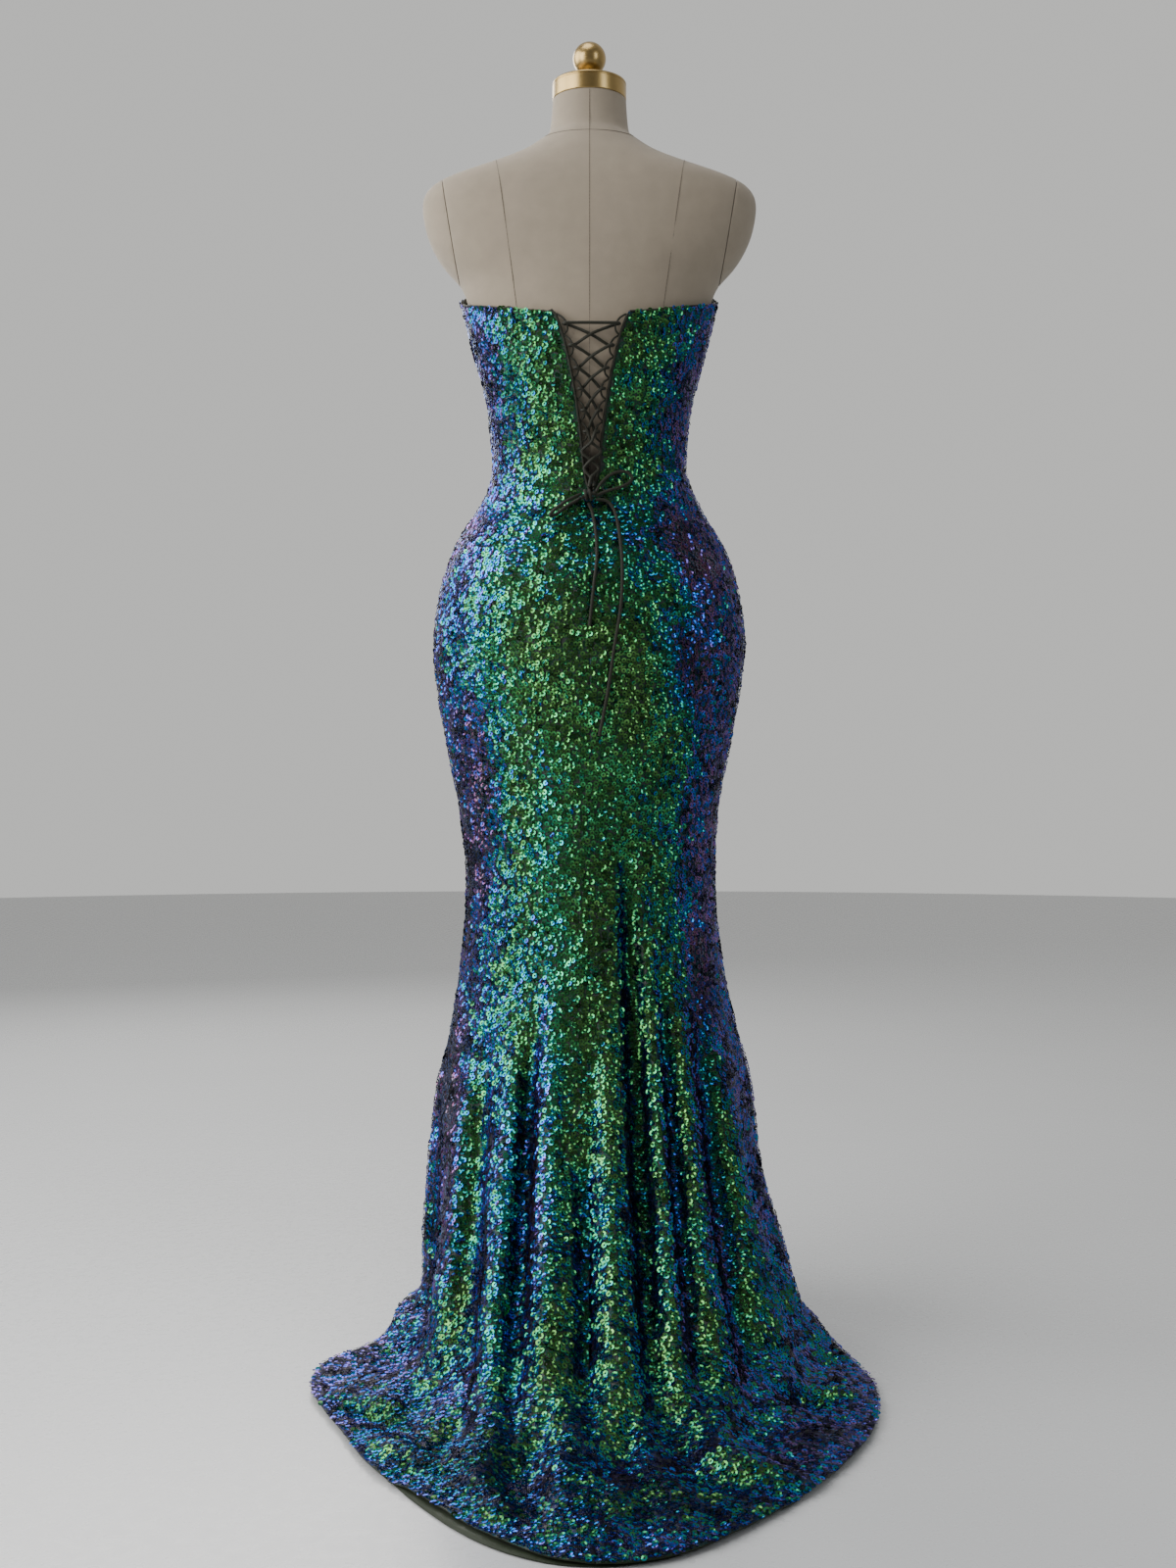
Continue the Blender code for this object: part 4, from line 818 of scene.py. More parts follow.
def cord_finish(settings):
    """Satin rouleau: fine threads run slantwise round the cord, over a seam along it."""
    made, tree, shader = new_material("Olive Satin Cord")
    along = node_of(tree, "ShaderNodeUVMap", uv_map="UVMap").outputs[0]
    lie = node_of(
        tree, "ShaderNodeMapping",
        {"Vector": along, "Rotation": (0.0, 0.0, 0.5), "Scale": (160.0, 26.0, 1.0)},
    )
    threads = node_of(
        tree, "ShaderNodeTexWave",
        {"Vector": lie.outputs[0], "Scale": 1.0, "Distortion": 1.5, "Detail": 2.0},
        wave_type="BANDS", bands_direction="DIAGONAL",
    )
    wear = placed_group(tree, "Soft Wear", patch_scale=90.0, grain_scale=1800.0)
    dark = tuple(part * 0.62 for part in settings.colour)
    pale = tuple(part * 1.55 for part in settings.colour)
    worn = maths(tree, "ADD", maths(tree, "MULTIPLY", threads.outputs["Fac"], 0.4),
                 maths(tree, "MULTIPLY", wear.outputs["Patches"], 0.6), clamp=True)
    tree.links.new(mixed(tree, worn, dark, pale), shader.inputs["Base Color"])
    tree.links.new(maths(tree, "ADD", maths(tree, "MULTIPLY", wear.outputs["Grain"], 0.3), 0.4),
                   shader.inputs["Roughness"])
    shader.inputs["Sheen Weight"].default_value = 0.05
    shader.inputs["Specular IOR Level"].default_value = 0.3
    bump_into(tree, shader, threads.outputs["Fac"], 0.4, 0.0004)
    return made


def linen_finish(settings):
    """Close greige linen with slubs and a little dust, and a painted shadow low in the V."""
    made, tree, shader = new_material("Form Linen")
    weave = placed_group(tree, "Weave", threads_per_metre=1700.0, unevenness=0.9)
    wear = placed_group(tree, "Soft Wear", patch_scale=6.0, grain_scale=420.0)
    dark = tuple(part * 0.74 for part in settings.linen)
    pale = tuple(min(part * 1.14, 1.0) for part in settings.linen)
    body = mixed(tree, weave.outputs["Slub"], dark, pale)
    threads = mixed(tree, maths(tree, "MULTIPLY", weave.outputs["Mask"], 0.30), body, pale)
    dusty = mixed(tree, maths(tree, "MULTIPLY", wear.outputs["Patches"], 0.32), threads, (0.33, 0.285, 0.225))
    # Painted shadow: the cover goes dark low in the V, where the narrow opening lies in shade.
    place = node_of(tree, "ShaderNodeTexCoord").outputs["Object"]
    height = node_of(tree, "ShaderNodeSeparateXYZ", {0: place}).outputs[2]
    painted_v_shadow = node_of(tree, "ShaderNodeMapRange", {0: height, 1: V_SHADOW_BELOW[0], 2: V_SHADOW_BELOW[1]})
    tree.links.new(mixed(tree, painted_v_shadow.outputs[0], tuple(part * 0.16 for part in settings.linen), dusty),
                   shader.inputs["Base Color"])
    tree.links.new(maths(tree, "ADD", maths(tree, "MULTIPLY", wear.outputs["Grain"], 0.15), 0.80),
                   shader.inputs["Roughness"])
    shader.inputs["Sheen Weight"].default_value = 0.15
    bump_into(tree, shader, maths(tree, "ADD", weave.outputs["Mask"], wear.outputs["Grain"]), 0.45, 0.0004)
    return made


def thread_finish(settings):
    """The sewn seams: the linen's own colour in shade, with stitches across."""
    made, tree, shader = new_material("Seam Thread")
    vector = node_of(tree, "ShaderNodeTexCoord").outputs["Object"]
    stitches = node_of(tree, "ShaderNodeTexWave", {"Vector": vector, "Scale": 70.0}, bands_direction="Z")
    dark = tuple(part * 0.30 for part in settings.linen)
    pale = tuple(part * 0.55 for part in settings.linen)
    tree.links.new(mixed(tree, stitches.outputs["Fac"], dark, pale), shader.inputs["Base Color"])
    shader.inputs["Roughness"].default_value = 0.85
    bump_into(tree, shader, stitches.outputs["Fac"], 0.4, 0.0003)
    return made


def brass_finish(settings):
    """Turned satin brass with a soft tarnish."""
    made, tree, shader = new_material("Satin Brass")
    lines = placed_group(tree, "Turned Lines", lines_per_metre=2400.0)
    wear = placed_group(tree, "Soft Wear", patch_scale=55.0, grain_scale=1500.0)
    dark = tuple(part * 0.62 for part in settings.brass)
    worn = mixed(tree, wear.outputs["Patches"], dark, tuple(settings.brass))
    tree.links.new(worn, shader.inputs["Base Color"])
    rough = maths(tree, "ADD", maths(tree, "MULTIPLY", lines.outputs["Lines"], 0.18), 0.22)
    tree.links.new(rough, shader.inputs["Roughness"])
    shader.inputs["Metallic"].default_value = 1.0
    bump_into(tree, shader, lines.outputs["Lines"], 0.15, 0.0002)
    return made


def steel_finish():
    """Black powder coat, worn a little where it is handled."""
    made, tree, shader = new_material("Stand Steel")
    wear = placed_group(tree, "Soft Wear", patch_scale=22.0, grain_scale=1600.0)
    tree.links.new(mixed(tree, wear.outputs["Patches"], (0.012, 0.012, 0.013), (0.040, 0.039, 0.038)),
                   shader.inputs["Base Color"])
    tree.links.new(maths(tree, "ADD", maths(tree, "MULTIPLY", wear.outputs["Grain"], 0.3), 0.35),
                   shader.inputs["Roughness"])
    shader.inputs["Metallic"].default_value = 0.35
    bump_into(tree, shader, wear.outputs["Grain"], 0.3, 0.0003)
    return made


def finish_of(name):
    """The finish of that name, made the first time it is asked for."""
    found = bpy.data.materials.get(name)
    if found:
        return found
    scene = bpy.context.scene
    makers = {
        "Sequin": sequin_finish,
        "Net Ground": lambda: ground_finish(scene.gown_cloth),
        "Olive Lining": lambda: lining_finish(scene.gown_cloth),
        "Olive Satin Cord": lambda: cord_finish(scene.gown_lacing),
        "Form Linen": lambda: linen_finish(scene.gown_form),
        "Seam Thread": lambda: thread_finish(scene.gown_form),
        "Satin Brass": lambda: brass_finish(scene.gown_form),
        "Stand Steel": steel_finish,
    }
    return makers[name]()


# ---------------------------------------------------------------- pieces
def new_piece(name, mesh, *finishes):
    """An object at the origin that rides on the one body and takes its first finish's slot."""
    obj = bpy.data.objects.new(name, mesh)
    bpy.context.scene.collection.objects.link(obj)
    for finish in finishes:
        mesh.materials.append(finish_of(finish))
    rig.ride(obj, "root")
    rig.slot(obj, SLOT_OF[finishes[0]])
    return obj


def mesh_of(name, bm, sharp=40.0):
    """The bmesh as a smooth mesh."""
    bmesh.ops.recalc_face_normals(bm, faces=bm.faces[:])
    mesh = bpy.data.meshes.new(name)
    bm.to_mesh(mesh)
    bm.free()
    mesh.shade_smooth()
    mesh.set_sharp_from_angle(angle=math.radians(sharp))
    return mesh


def apply_modifiers(obj):
    """Leaves the object with its modifiers' result as its own mesh."""
    graph = bpy.context.evaluated_depsgraph_get()
    graph.update()
    made = bpy.data.meshes.new_from_object(obj.evaluated_get(graph))
    obj.modifiers.clear()
    obj.data = made
    return obj


def subdivided(bm, levels, name="scratch"):
    """The bmesh's mesh after smooth subdivision, which still passes through the corners it was given."""
    mesh = bpy.data.meshes.new(name)
    bm.to_mesh(mesh)
    bm.free()
    obj = bpy.data.objects.new(name, mesh)
    bpy.context.scene.collection.objects.link(obj)
    modifier = obj.modifiers.new("smooth", "SUBSURF")
    modifier.levels = levels
    modifier.render_levels = levels
    modifier.boundary_smooth = "PRESERVE_CORNERS"
    wanted = points_and_normals(mesh)[0]
    control = wanted.copy()
    for _ in range(HOLD_PASSES):
        graph = bpy.context.evaluated_depsgraph_get()
        graph.update()
        smooth = bpy.data.meshes.new_from_object(obj.evaluated_get(graph))
        control += wanted - points_and_normals(smooth)[0][:len(wanted)]
        bpy.data.meshes.remove(smooth)
        mesh.vertices.foreach_set("co", control.ravel())
        mesh.update()
    apply_modifiers(obj)
    made = obj.data
    bpy.data.objects.remove(obj, do_unlink=True)
    return made


def islands(bm):
    """The bmesh's faces in groups that hang together."""
    left = set(bm.faces)
    while left:
        stack = [left.pop()]
        found = set(stack)
        while stack:
            for edge in stack.pop().edges:
                near = [face for face in edge.link_faces if face in left]
                left.difference_update(near)
                found.update(near)
                stack.extend(near)
        yield found


def outer_skin(node, wall):
    """The outer face of a cloth wall's CAD solid, in quads."""
    bm = bmesh.new()
    bm.from_mesh(frame["nodes"][node].data)
    bmesh.ops.remove_doubles(bm, verts=bm.verts[:], dist=0.00001)
    rims = [face for face in bm.faces if min(edge.calc_length() for edge in face.edges) < wall]
    bmesh.ops.delete(bm, geom=rims, context="FACES")

    def looks_out(group):
        total = 0.0
        for face in group:
            middle = face.calc_center_median().xy.normalized()
            total += face.calc_area() * (face.normal.xy.dot(middle) + 0.7 * face.normal.z)
        return total

    outer = max(islands(bm), key=looks_out)
    bmesh.ops.delete(bm, geom=[face for face in bm.faces if face not in outer], context="FACES")
    bmesh.ops.join_triangles(
        bm, faces=bm.faces[:], angle_face_threshold=math.pi, angle_shape_threshold=math.pi,
    )
    return bm


def points_and_normals(mesh):
    points = np.empty(len(mesh.vertices) * 3)
    normals = np.empty(len(mesh.vertices) * 3)
    mesh.vertices.foreach_get("co", points)
    mesh.vertices.foreach_get("normal", normals)
    return points.reshape(-1, 3), normals.reshape(-1, 3)


def line_weights(points, side, first, last, half_width, ends=0.15):
    """How strongly each point takes part in a stroke, which fades out across it and at its ends."""
    axes, depth, sign, near = SIDE_VIEWS[side]
    flat = points[:, axes]
    first, run = np.array(first), np.array(last) - np.array(first)
    along = np.clip((flat - first) @ run / (run @ run), 0.0, 1.0)
    away = np.linalg.norm(flat - first - along[:, None] * run, axis=1) / (1.6 * half_width)
    fade = ends + (1 - ends) * np.clip(np.minimum(along, 1 - along) * 5.0, 0.0, 1.0)
    bell = (1 - np.minimum(away, 1) ** 2) ** 2
    return bell * fade * (points[:, depth] * sign > near)


def crease_rise(points):
    """How far the hand-set creases lift each point."""
    rise = np.zeros(len(points))
    for _, side, first, last, half_width, depth in CREASE_ROWS:
        rise += depth * line_weights(points, side, first, last, half_width)
    return rise


def crumple(mesh, waviness):
    """Lays the creases and small uneven waves over the mesh."""
    points, normals = points_and_normals(mesh)
    rise = crease_rise(points)
    for i, point in enumerate(points):
        place = Vector(point)
        wave = noise.noise(place * 22.0) + 0.5 * noise.noise(place * 55.0 + Vector((3.0, 1.0, 5.0)))
        height = min(max((1.22 - point[2]) / 0.10, 0.0), 1.0)
        rise[i] += waviness * wave * (0.35 + 0.65 * height)
    points += normals * rise[:, None]
    points[:, 2] = np.maximum(points[:, 2], 0.0034)
    mesh.vertices.foreach_set("co", points.ravel())
    mesh.update()


# ---------------------------------------------------------------- the gown's back, for what lies on it
class BackSurface:
    """The outer face of the gown's back, which carries on across the open V."""

    OPEN_FROM = 0.985
    ON_CLOTH = 0.056

    def __init__(self, meshes):
        bm = bmesh.new()
        for mesh in meshes:
            bm.from_mesh(mesh)
        self.tree = BVHTree.FromBMesh(bm)
        bm.free()
        self.known = {}

    def behind(self, x, z):
        hit = self.tree.ray_cast(Vector((x, 1.5, z)), Vector((0.0, -1.0, 0.0)))[0]
        return hit.y if hit else None

    def reach(self, side, z):
        """How far the gown stands out to one side, off its seams."""
        hits = [
            self.tree.ray_cast(Vector((side, y, z)), Vector((-side, 0.0, 0.0)))[0]
            for y in (-0.012, 0.012)
        ]
        return sum(abs(hit.x) for hit in hits if hit) / sum(hit is not None for hit in hits)

    def section(self, z):
        """Half width and depth of the ellipse that the gown follows at that height."""
        key = round(z, 5)
        if key not in self.known:
            width = sum(self.reach(side, z) for side in (1, -1)) / 2
            depths = [self.behind(self.ON_CLOTH * side, z) for side in (1, -1)]
            self.known[key] = (width, sum(depths) / 2 / math.sqrt(1 - (self.ON_CLOTH / width) ** 2))
        return self.known[key]

    def face(self, x, z):
        if z < self.OPEN_FROM:
            return Vector((x, self.behind(x, z), z))
        width, depth = self.section(min(z, 1.222))
        return Vector((x, depth * math.sqrt(1 - (x / width) ** 2), z))

    def point(self, x, z, lift):
        step = 0.003
        around = self.face(x + step, z) - self.face(x - step, z)
        up = self.face(x, z + step) - self.face(x, z - step)
        out = around.cross(up).normalized()
        return self.face(x, z) + out * lift * math.copysign(1.0, out.y)


# ---------------------------------------------------------------- tubes
def tube(name, points, radius, sides=10, count=None):
    """A round cord along a smooth curve through the points, as a mesh with its length in its UV map."""
    line = smooth_route(points, count or len(points) * 4)
    curve = bpy.data.curves.new(name, "CURVE")
    curve.dimensions = "3D"
    curve.bevel_depth = radius
    curve.bevel_resolution = (sides - 4) // 2
    curve.use_fill_caps = True
    spline = curve.splines.new("POLY")
    spline.points.add(len(line) - 1)
    for spline_point, place in zip(spline.points, line):
        spline_point.co = (*place, 1.0)
    holder = bpy.data.objects.new(name, curve)
    bpy.context.scene.collection.objects.link(holder)
    graph = bpy.context.evaluated_depsgraph_get()
    mesh = bpy.data.meshes.new_from_object(holder.evaluated_get(graph))
    bpy.data.objects.remove(holder, do_unlink=True)
    bpy.data.curves.remove(curve)
    bm = bmesh.new()
    bm.from_mesh(mesh)
    bpy.data.meshes.remove(mesh)
    bmesh.ops.remove_doubles(bm, verts=bm.verts[:], dist=0.00001)
    return mesh_of(name, bm, sharp=60.0), line


def joined(name, meshes):
    """Several meshes as one."""
    bm = bmesh.new()
    for mesh in meshes:
        bm.from_mesh(mesh)
    made = bpy.data.meshes.new(name)
    bm.to_mesh(made)
    bm.free()
    made.shade_smooth()
    return made


# ---------------------------------------------------------------- operators
def cloth_meshes():
    return [bpy.data.objects[row[0]].data for row in PANEL_ROWS if row[0] in bpy.data.objects]


class GOWN_OT_camera(bpy.types.Operator):
    """Place the camera level, behind the gown."""

    bl_idname = "gown.camera"
    bl_label = "Camera"

    def execute(self, context):
        settings = context.scene.gown_studio
        data = bpy.data.cameras.new("studio_camera")
        data.lens = settings.lens
        data.sensor_width = 36.0
        camera = bpy.data.objects.new("studio_camera", data)
        camera.location = settings.camera_place
        camera.rotation_euler = (math.radians(90.0), 0.0, math.radians(180.0))
        context.scene.collection.objects.link(camera)
        context.scene.camera = camera
        return {"FINISHED"}


class GOWN_OT_cloth(bpy.types.Operator):
    """Build the seven panels of the gown as thin creased cloth."""

    bl_idname = "gown.cloth"
    bl_label = "Cloth Panels"

    def execute(self, context):
        settings = context.scene.gown_cloth
        for name, node, width, length, area in PANEL_ROWS:
            mesh = subdivided(outer_skin(node, 0.0026), 2, name)
            crumple(mesh, settings.waviness)
            mesh.name = name
            mesh.shade_smooth()
            obj = new_piece(name, mesh, "Net Ground", "Olive Lining")
            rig.replaces(obj, node)
            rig.sheet(obj, flat=(width, length), held="hung", rests_on=["form_torso"], area=area)
        return {"FINISHED"}


def scattered(obj, spacing, seed):
    """Places spread over a mesh, none nearer than the spacing, and the way out of the cloth at each."""
    tree = bpy.data.node_groups.new("scatter", "GeometryNodeTree")
    for way in ("INPUT", "OUTPUT"):
        tree.interface.new_socket("Geometry", in_out=way, socket_type="NodeSocketGeometry")
    start = tree.nodes.new("NodeGroupInput")
    spread = tree.nodes.new("GeometryNodeDistributePointsOnFaces")
    spread.distribute_method = "POISSON"
    spread.inputs["Distance Min"].default_value = spacing
    spread.inputs["Density Max"].default_value = MOST_SEQUINS
    spread.inputs["Seed"].default_value = seed
    store = tree.nodes.new("GeometryNodeStoreNamedAttribute")
    store.data_type = "FLOAT_VECTOR"
    store.domain = "POINT"
    store.inputs["Name"].default_value = "way_out"
    to_verts = tree.nodes.new("GeometryNodePointsToVertices")
    end = tree.nodes.new("NodeGroupOutput")
    tree.links.new(start.outputs[0], spread.inputs[0])
    tree.links.new(spread.outputs["Points"], store.inputs["Geometry"])
    tree.links.new(spread.outputs["Normal"], store.inputs["Value"])
    tree.links.new(store.outputs[0], to_verts.inputs[0])
    tree.links.new(to_verts.outputs[0], end.inputs[0])
    holder = bpy.data.objects.new("scatter", obj.data)
    bpy.context.scene.collection.objects.link(holder)
    modifier = holder.modifiers.new("scatter", "NODES")
    modifier.node_group = tree
    graph = bpy.context.evaluated_depsgraph_get()
    graph.update()
    mesh = bpy.data.meshes.new_from_object(holder.evaluated_get(graph))
    places = np.empty(len(mesh.vertices) * 3)
    mesh.vertices.foreach_get("co", places)
    ways = np.empty(len(mesh.vertices) * 3)
    mesh.attributes["way_out"].data.foreach_get("vector", ways)
    bpy.data.objects.remove(holder, do_unlink=True)
    bpy.data.meshes.remove(mesh)
    bpy.data.node_groups.remove(tree)
    return places.reshape(-1, 3), ways.reshape(-1, 3)


def one_sequin(settings):
    """The corners and faces of one cupped ring about its middle."""
    bm = bmesh.new()
    outer = bmesh.ops.create_circle(bm, segments=SEQUIN_SIDES, radius=settings.diameter / 2)["verts"]
    bmesh.ops.translate(bm, vec=(0, 0, settings.cup), verts=outer)
    made = bmesh.ops.extrude_edge_only(bm, edges=bm.edges[:])["geom"]
    inner = [item for item in made if isinstance(item, bmesh.types.BMVert)]
    bmesh.ops.scale(bm, vec=(settings.hole, settings.hole, 0.0), verts=inner)
    bmesh.ops.recalc_face_normals(bm, faces=bm.faces[:])
    bm.verts.index_update()
    bm.faces.ensure_lookup_table()
    if bm.faces[0].normal.z < 0:
        bmesh.ops.reverse_faces(bm, faces=bm.faces[:])
    corners = np.array([v.co[:] for v in bm.verts])
    faces = np.array([[v.index for v in face.verts] for face in bm.faces])
    bm.free()
    return corners, faces


def off_the_v(places):
    """True where a sequin is sewn: not on the bare band along the V's edges."""
    heights = column(V_ROWS, V_COLUMNS, "z")
    halves = column(V_ROWS, V_COLUMNS, "half")
    keep = np.ones(len(places), bool)
    near = (places[:, 1] > 0) & (np.abs(places[:, 0]) < 0.07) & (places[:, 2] > heights[0])
    for i in np.flatnonzero(near):
        band = BARE_BAND * min((places[i, 2] - heights[0]) / 0.02, 1.0)
        keep[i] = abs(places[i, 0] - V_CENTRE) > smooth_read(heights, halves, places[i, 2]) + band
    return keep


def sequin_mesh(name, places, ways, settings, seed):
    """All of a panel's sequins as one mesh. Neighbours lean and shine alike, as sewn in one run."""
    corners, faces = one_sequin(settings)
    count = len(places)
    draw = np.random.default_rng(seed)
    own = draw.normal(size=(count, 3))
    patch = np.array([noise.noise_vector(Vector(p) * 36.0)[:] for p in places])
    lean = patch * math.tan(settings.tilt) * PATCH_LEAN + own * OWN_LEAN
    up = ways + lean - ways * np.sum(lean * ways, axis=1)[:, None]
    up /= np.linalg.norm(up, axis=1)[:, None]
    aside = np.cross(up, draw.normal(size=(count, 3)))
    aside /= np.linalg.norm(aside, axis=1)[:, None]
    across = np.cross(up, aside)
    size = draw.uniform(*SEQUIN_SIZES, count)
    lift = draw.uniform(*SEQUIN_LIFTS, count)
    middles = places + ways * lift[:, None]
    middles[:, 2] = np.maximum(middles[:, 2], LOWEST_SEQUIN)
    points = (
        middles[:, None, :]
        + size[:, None, None] * (
            corners[None, :, 0, None] * aside[:, None, :]
            + corners[None, :, 1, None] * across[:, None, :]
            + corners[None, :, 2, None] * up[:, None, :]
        )
    ).reshape(-1, 3)
    loops = (faces[None] + (np.arange(count) * len(corners))[:, None, None]).reshape(-1)
    mesh = bpy.data.meshes.new(name)
    mesh.vertices.add(len(points))
    mesh.vertices.foreach_set("co", points.ravel())
    mesh.loops.add(len(loops))
    mesh.loops.foreach_set("vertex_index", loops.astype(np.int32))
    mesh.polygons.add(count * len(faces))
    mesh.polygons.foreach_set("loop_start", np.arange(count * len(faces), dtype=np.int32) * 4)
    mesh.update(calc_edges=True)
    mesh.shade_smooth()
    slow = np.array([noise.noise(Vector(p) * 9.0) for p in places])
    quick = np.array([noise.noise(Vector(p) * 38.0 + Vector((7.0, 2.0, 4.0))) for p in places])
    shift = 0.5 + 0.12 * slow + 0.08 * quick + draw.normal(size=count) * 0.035
    shade = 0.84 + 0.35 * quick + draw.normal(size=count) * 0.26
    # The patches' shade paints light into the sequins' colour: painted highlights where glints fall, painted shade in
    # troughs and on parts turned from the light.
    for _, side, first, last, half_width, more, painted_light in PATCH_ROWS:
        part = line_weights(places, side, first, last, half_width, ends=0.5)
        shift += more * part
        shade *= 1 + (painted_light - 1) * part
    shade = np.clip(shade, 0.12, 2.0)
    colour = np.ones((count, len(corners), 4))
    colour[:, :, 0] = np.clip(shift, 0.0, 1.0)[:, None]
    colour[:, :, 1] = shade[:, None]
    colour[:, :, 2] = 0.5
    layer = mesh.color_attributes.new("sequin", "FLOAT_COLOR", "POINT")
    layer.data.foreach_set("color", colour.ravel())
    return mesh


class GOWN_OT_sequins(bpy.types.Operator):
    """Sew cupped ring sequins all over the cloth."""

    bl_idname = "gown.sequins"
    bl_label = "Sequins"

    def execute(self, context):
        settings = context.scene.gown_sequins
        noise.seed_set(settings.seed)
        for number, (name, *_) in enumerate(PANEL_ROWS):
            cloth = bpy.data.objects[name]
            places, ways = scattered(cloth, settings.spacing, settings.seed + number)
            keep = off_the_v(places)
            piece = name.replace("cloth", "sequins")
            mesh = sequin_mesh(piece, places[keep], ways[keep], settings, settings.seed + 100 + number)
            new_piece(piece, mesh, "Sequin")
        return {"FINISHED"}


class GOWN_OT_linings(bpy.types.Operator):
    """Give each panel its thickness and its lining, and roll the top and V edges."""

    bl_idname = "gown.linings"
    bl_label = "Linings and Edges"

    def execute(self, context):
        settings = context.scene.gown_cloth
        rim = set()
        v_rim = {1: [], -1: []}
        for name, *_ in PANEL_ROWS:
            obj = bpy.data.objects[name]
            bm = bmesh.new()
            bm.from_mesh(obj.data)
            for edge in bm.edges:
                if not edge.is_boundary:
                    continue
                middle = (edge.verts[0].co + edge.verts[1].co) / 2
                run = (edge.verts[0].co - edge.verts[1].co).normalized()
                if middle.z > 1.2 and abs(run.z) < 0.6 and abs(middle.x - V_CENTRE) > 0.035:
                    rim.add(tuple(middle))
                elif middle.y > 0 and abs(middle.x) < 0.056 and middle.z > 1.014:
                    v_rim[1 if middle.x > V_CENTRE else -1].append(middle.copy())
            bm.free()
            shell = obj.modifiers.new("lining", "SOLIDIFY")
            shell.thickness = settings.thickness
            shell.offset = -1.0
            shell.material_offset = 1
            shell.material_offset_rim = 1
        around = sorted((Vector(p) for p in rim), key=lambda p: math.atan2(-p.x, -p.y))
        around = thinned(around, 0.006)
        meshes = [tube("rolled_top", around, ROLLED_TOP_RADIUS, sides=8, count=420)[0]]
        for points in v_rim.values():
            points.sort(key=lambda p: p.z)
            rolled = tube("rolled_v", thinned(points, 0.006), ROLLED_V_RADIUS, sides=8, count=90)[0]
            meshes.append(rolled)
        new_piece("rolled_edges", joined("rolled_edges", meshes), "Olive Satin Cord")
        return {"FINISHED"}


class GOWN_OT_facing(bpy.types.Operator):
    """Lay the olive facing that shows under the train's edge."""

    bl_idname = "gown.facing"
    bl_label = "Hem Facing"

    def execute(self, context):
        mesh = subdivided(outer_skin("hem_facing", 0.0016), 2, "facing")
        points = points_and_normals(mesh)[0]
        for i, point in enumerate(points):
            points[i, 2] += FACING_WAVE * (0.5 + noise.noise(Vector(point) * 30.0))
        mesh.vertices.foreach_set("co", points.ravel())
        mesh.shade_smooth()
        obj = new_piece("facing", mesh, "Olive Lining")
        shell = obj.modifiers.new("thickness", "SOLIDIFY")
        shell.thickness = FACING_THICKNESS
        shell.offset = -1.0
        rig.replaces(obj, "hem_facing")
        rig.sheet(obj, flat=(0.045, 0.95), held="laid", rests_on=["floor"])
        return {"FINISHED"}


def v_half(z):
    return smooth_read(column(V_ROWS, V_COLUMNS, "z"), column(V_ROWS, V_COLUMNS, "half"), z)


class GOWN_OT_lacing(bpy.types.Operator):
    """Sew the scalloped loop strips down the V and lace the cord through them."""

    bl_idname = "gown.lacing"
    bl_label = "Lacing"

    def execute(self, context):
        back = BackSurface(cloth_meshes())
        radius = context.scene.gown_lacing.diameter / 2
        for name, side in (("left", 1), ("right", -1)):
            piece = f"loops_{name}"
            mesh = tube(piece, self.strip(back, side), LOOP_CORD / 2, sides=10, count=260)[0]
            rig.replaces(new_piece(piece, mesh, "Olive Satin Cord"), f"loop_strip_{name}")
        points = self.strand(back, 1)[::-1] + self.strand(back, -1)
        mesh = tube("lace", points, radius * 0.94, sides=12, count=520)[0]
        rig.replaces(new_piece("lace", mesh, "Olive Satin Cord"), "lacing_cord")
        return {"FINISHED"}

    def strip(self, back, side):
        hooked = [row[1] for row in LACE_ROWS if row[2]]
        heights = [LOOP_ENDS[0], *[(a + b) / 2 for a, b in zip(hooked, hooked[1:])], LOOP_ENDS[1]]
        points = []
        for top, bottom in zip(heights, heights[1:]):
            for step in range(6):
                part = step / 6
                z = top + (bottom - top) * part
                bulge = math.sin(math.pi * part) ** 0.7
                aside = v_half(z) - LOOP_CORD / 2 - LOOP_DEPTH * bulge
                lift = -0.001 + (LOOP_TIP_LIFT + 0.001) * bulge
                points.append(back.point(V_CENTRE + side * aside, z, lift))
        points.append(back.point(V_CENTRE + side * v_half(heights[-1]), heights[-1], -0.001))
        return points

    def strand(self, back, side):
        points = []
        for level, (_, z, hooked, aside) in enumerate(LACE_ROWS):
            last = level == len(LACE_ROWS) - 1
            if hooked:
                tip = side * (v_half(z) - LOOP_CORD / 2 - LOOP_DEPTH)
                hook = []
                for step in range(4):
                    angle = math.radians(-90.0 + 60.0 * step)
                    reach = tip + side * HOOK_REACH * math.cos(angle)
                    hook.append(back.point(V_CENTRE + reach, z, LOOP_TIP_LIFT + HOOK_REACH * math.sin(angle)))
                points += hook[::-1] if level == 0 else hook
            elif last:
                points.append(back.point(V_CENTRE + side * aside, z, KNOT_CENTRE[2]))
            else:
                points += [
                    back.point(V_CENTRE + side * aside, z + step, LACE_ON_CLOTH)
                    for step in (0.002, -0.002)
                ]
            if not last:
                low = LACE_UNDER if LACE_ROWS[level + 1][2] else LACE_ON_CLOTH
                high = low + LACE_CROSSING
                between = (z + LACE_ROWS[level + 1][1]) / 2
                points.append(back.point(V_CENTRE, between, high if side < 0 else low))
            side = -side
        return points


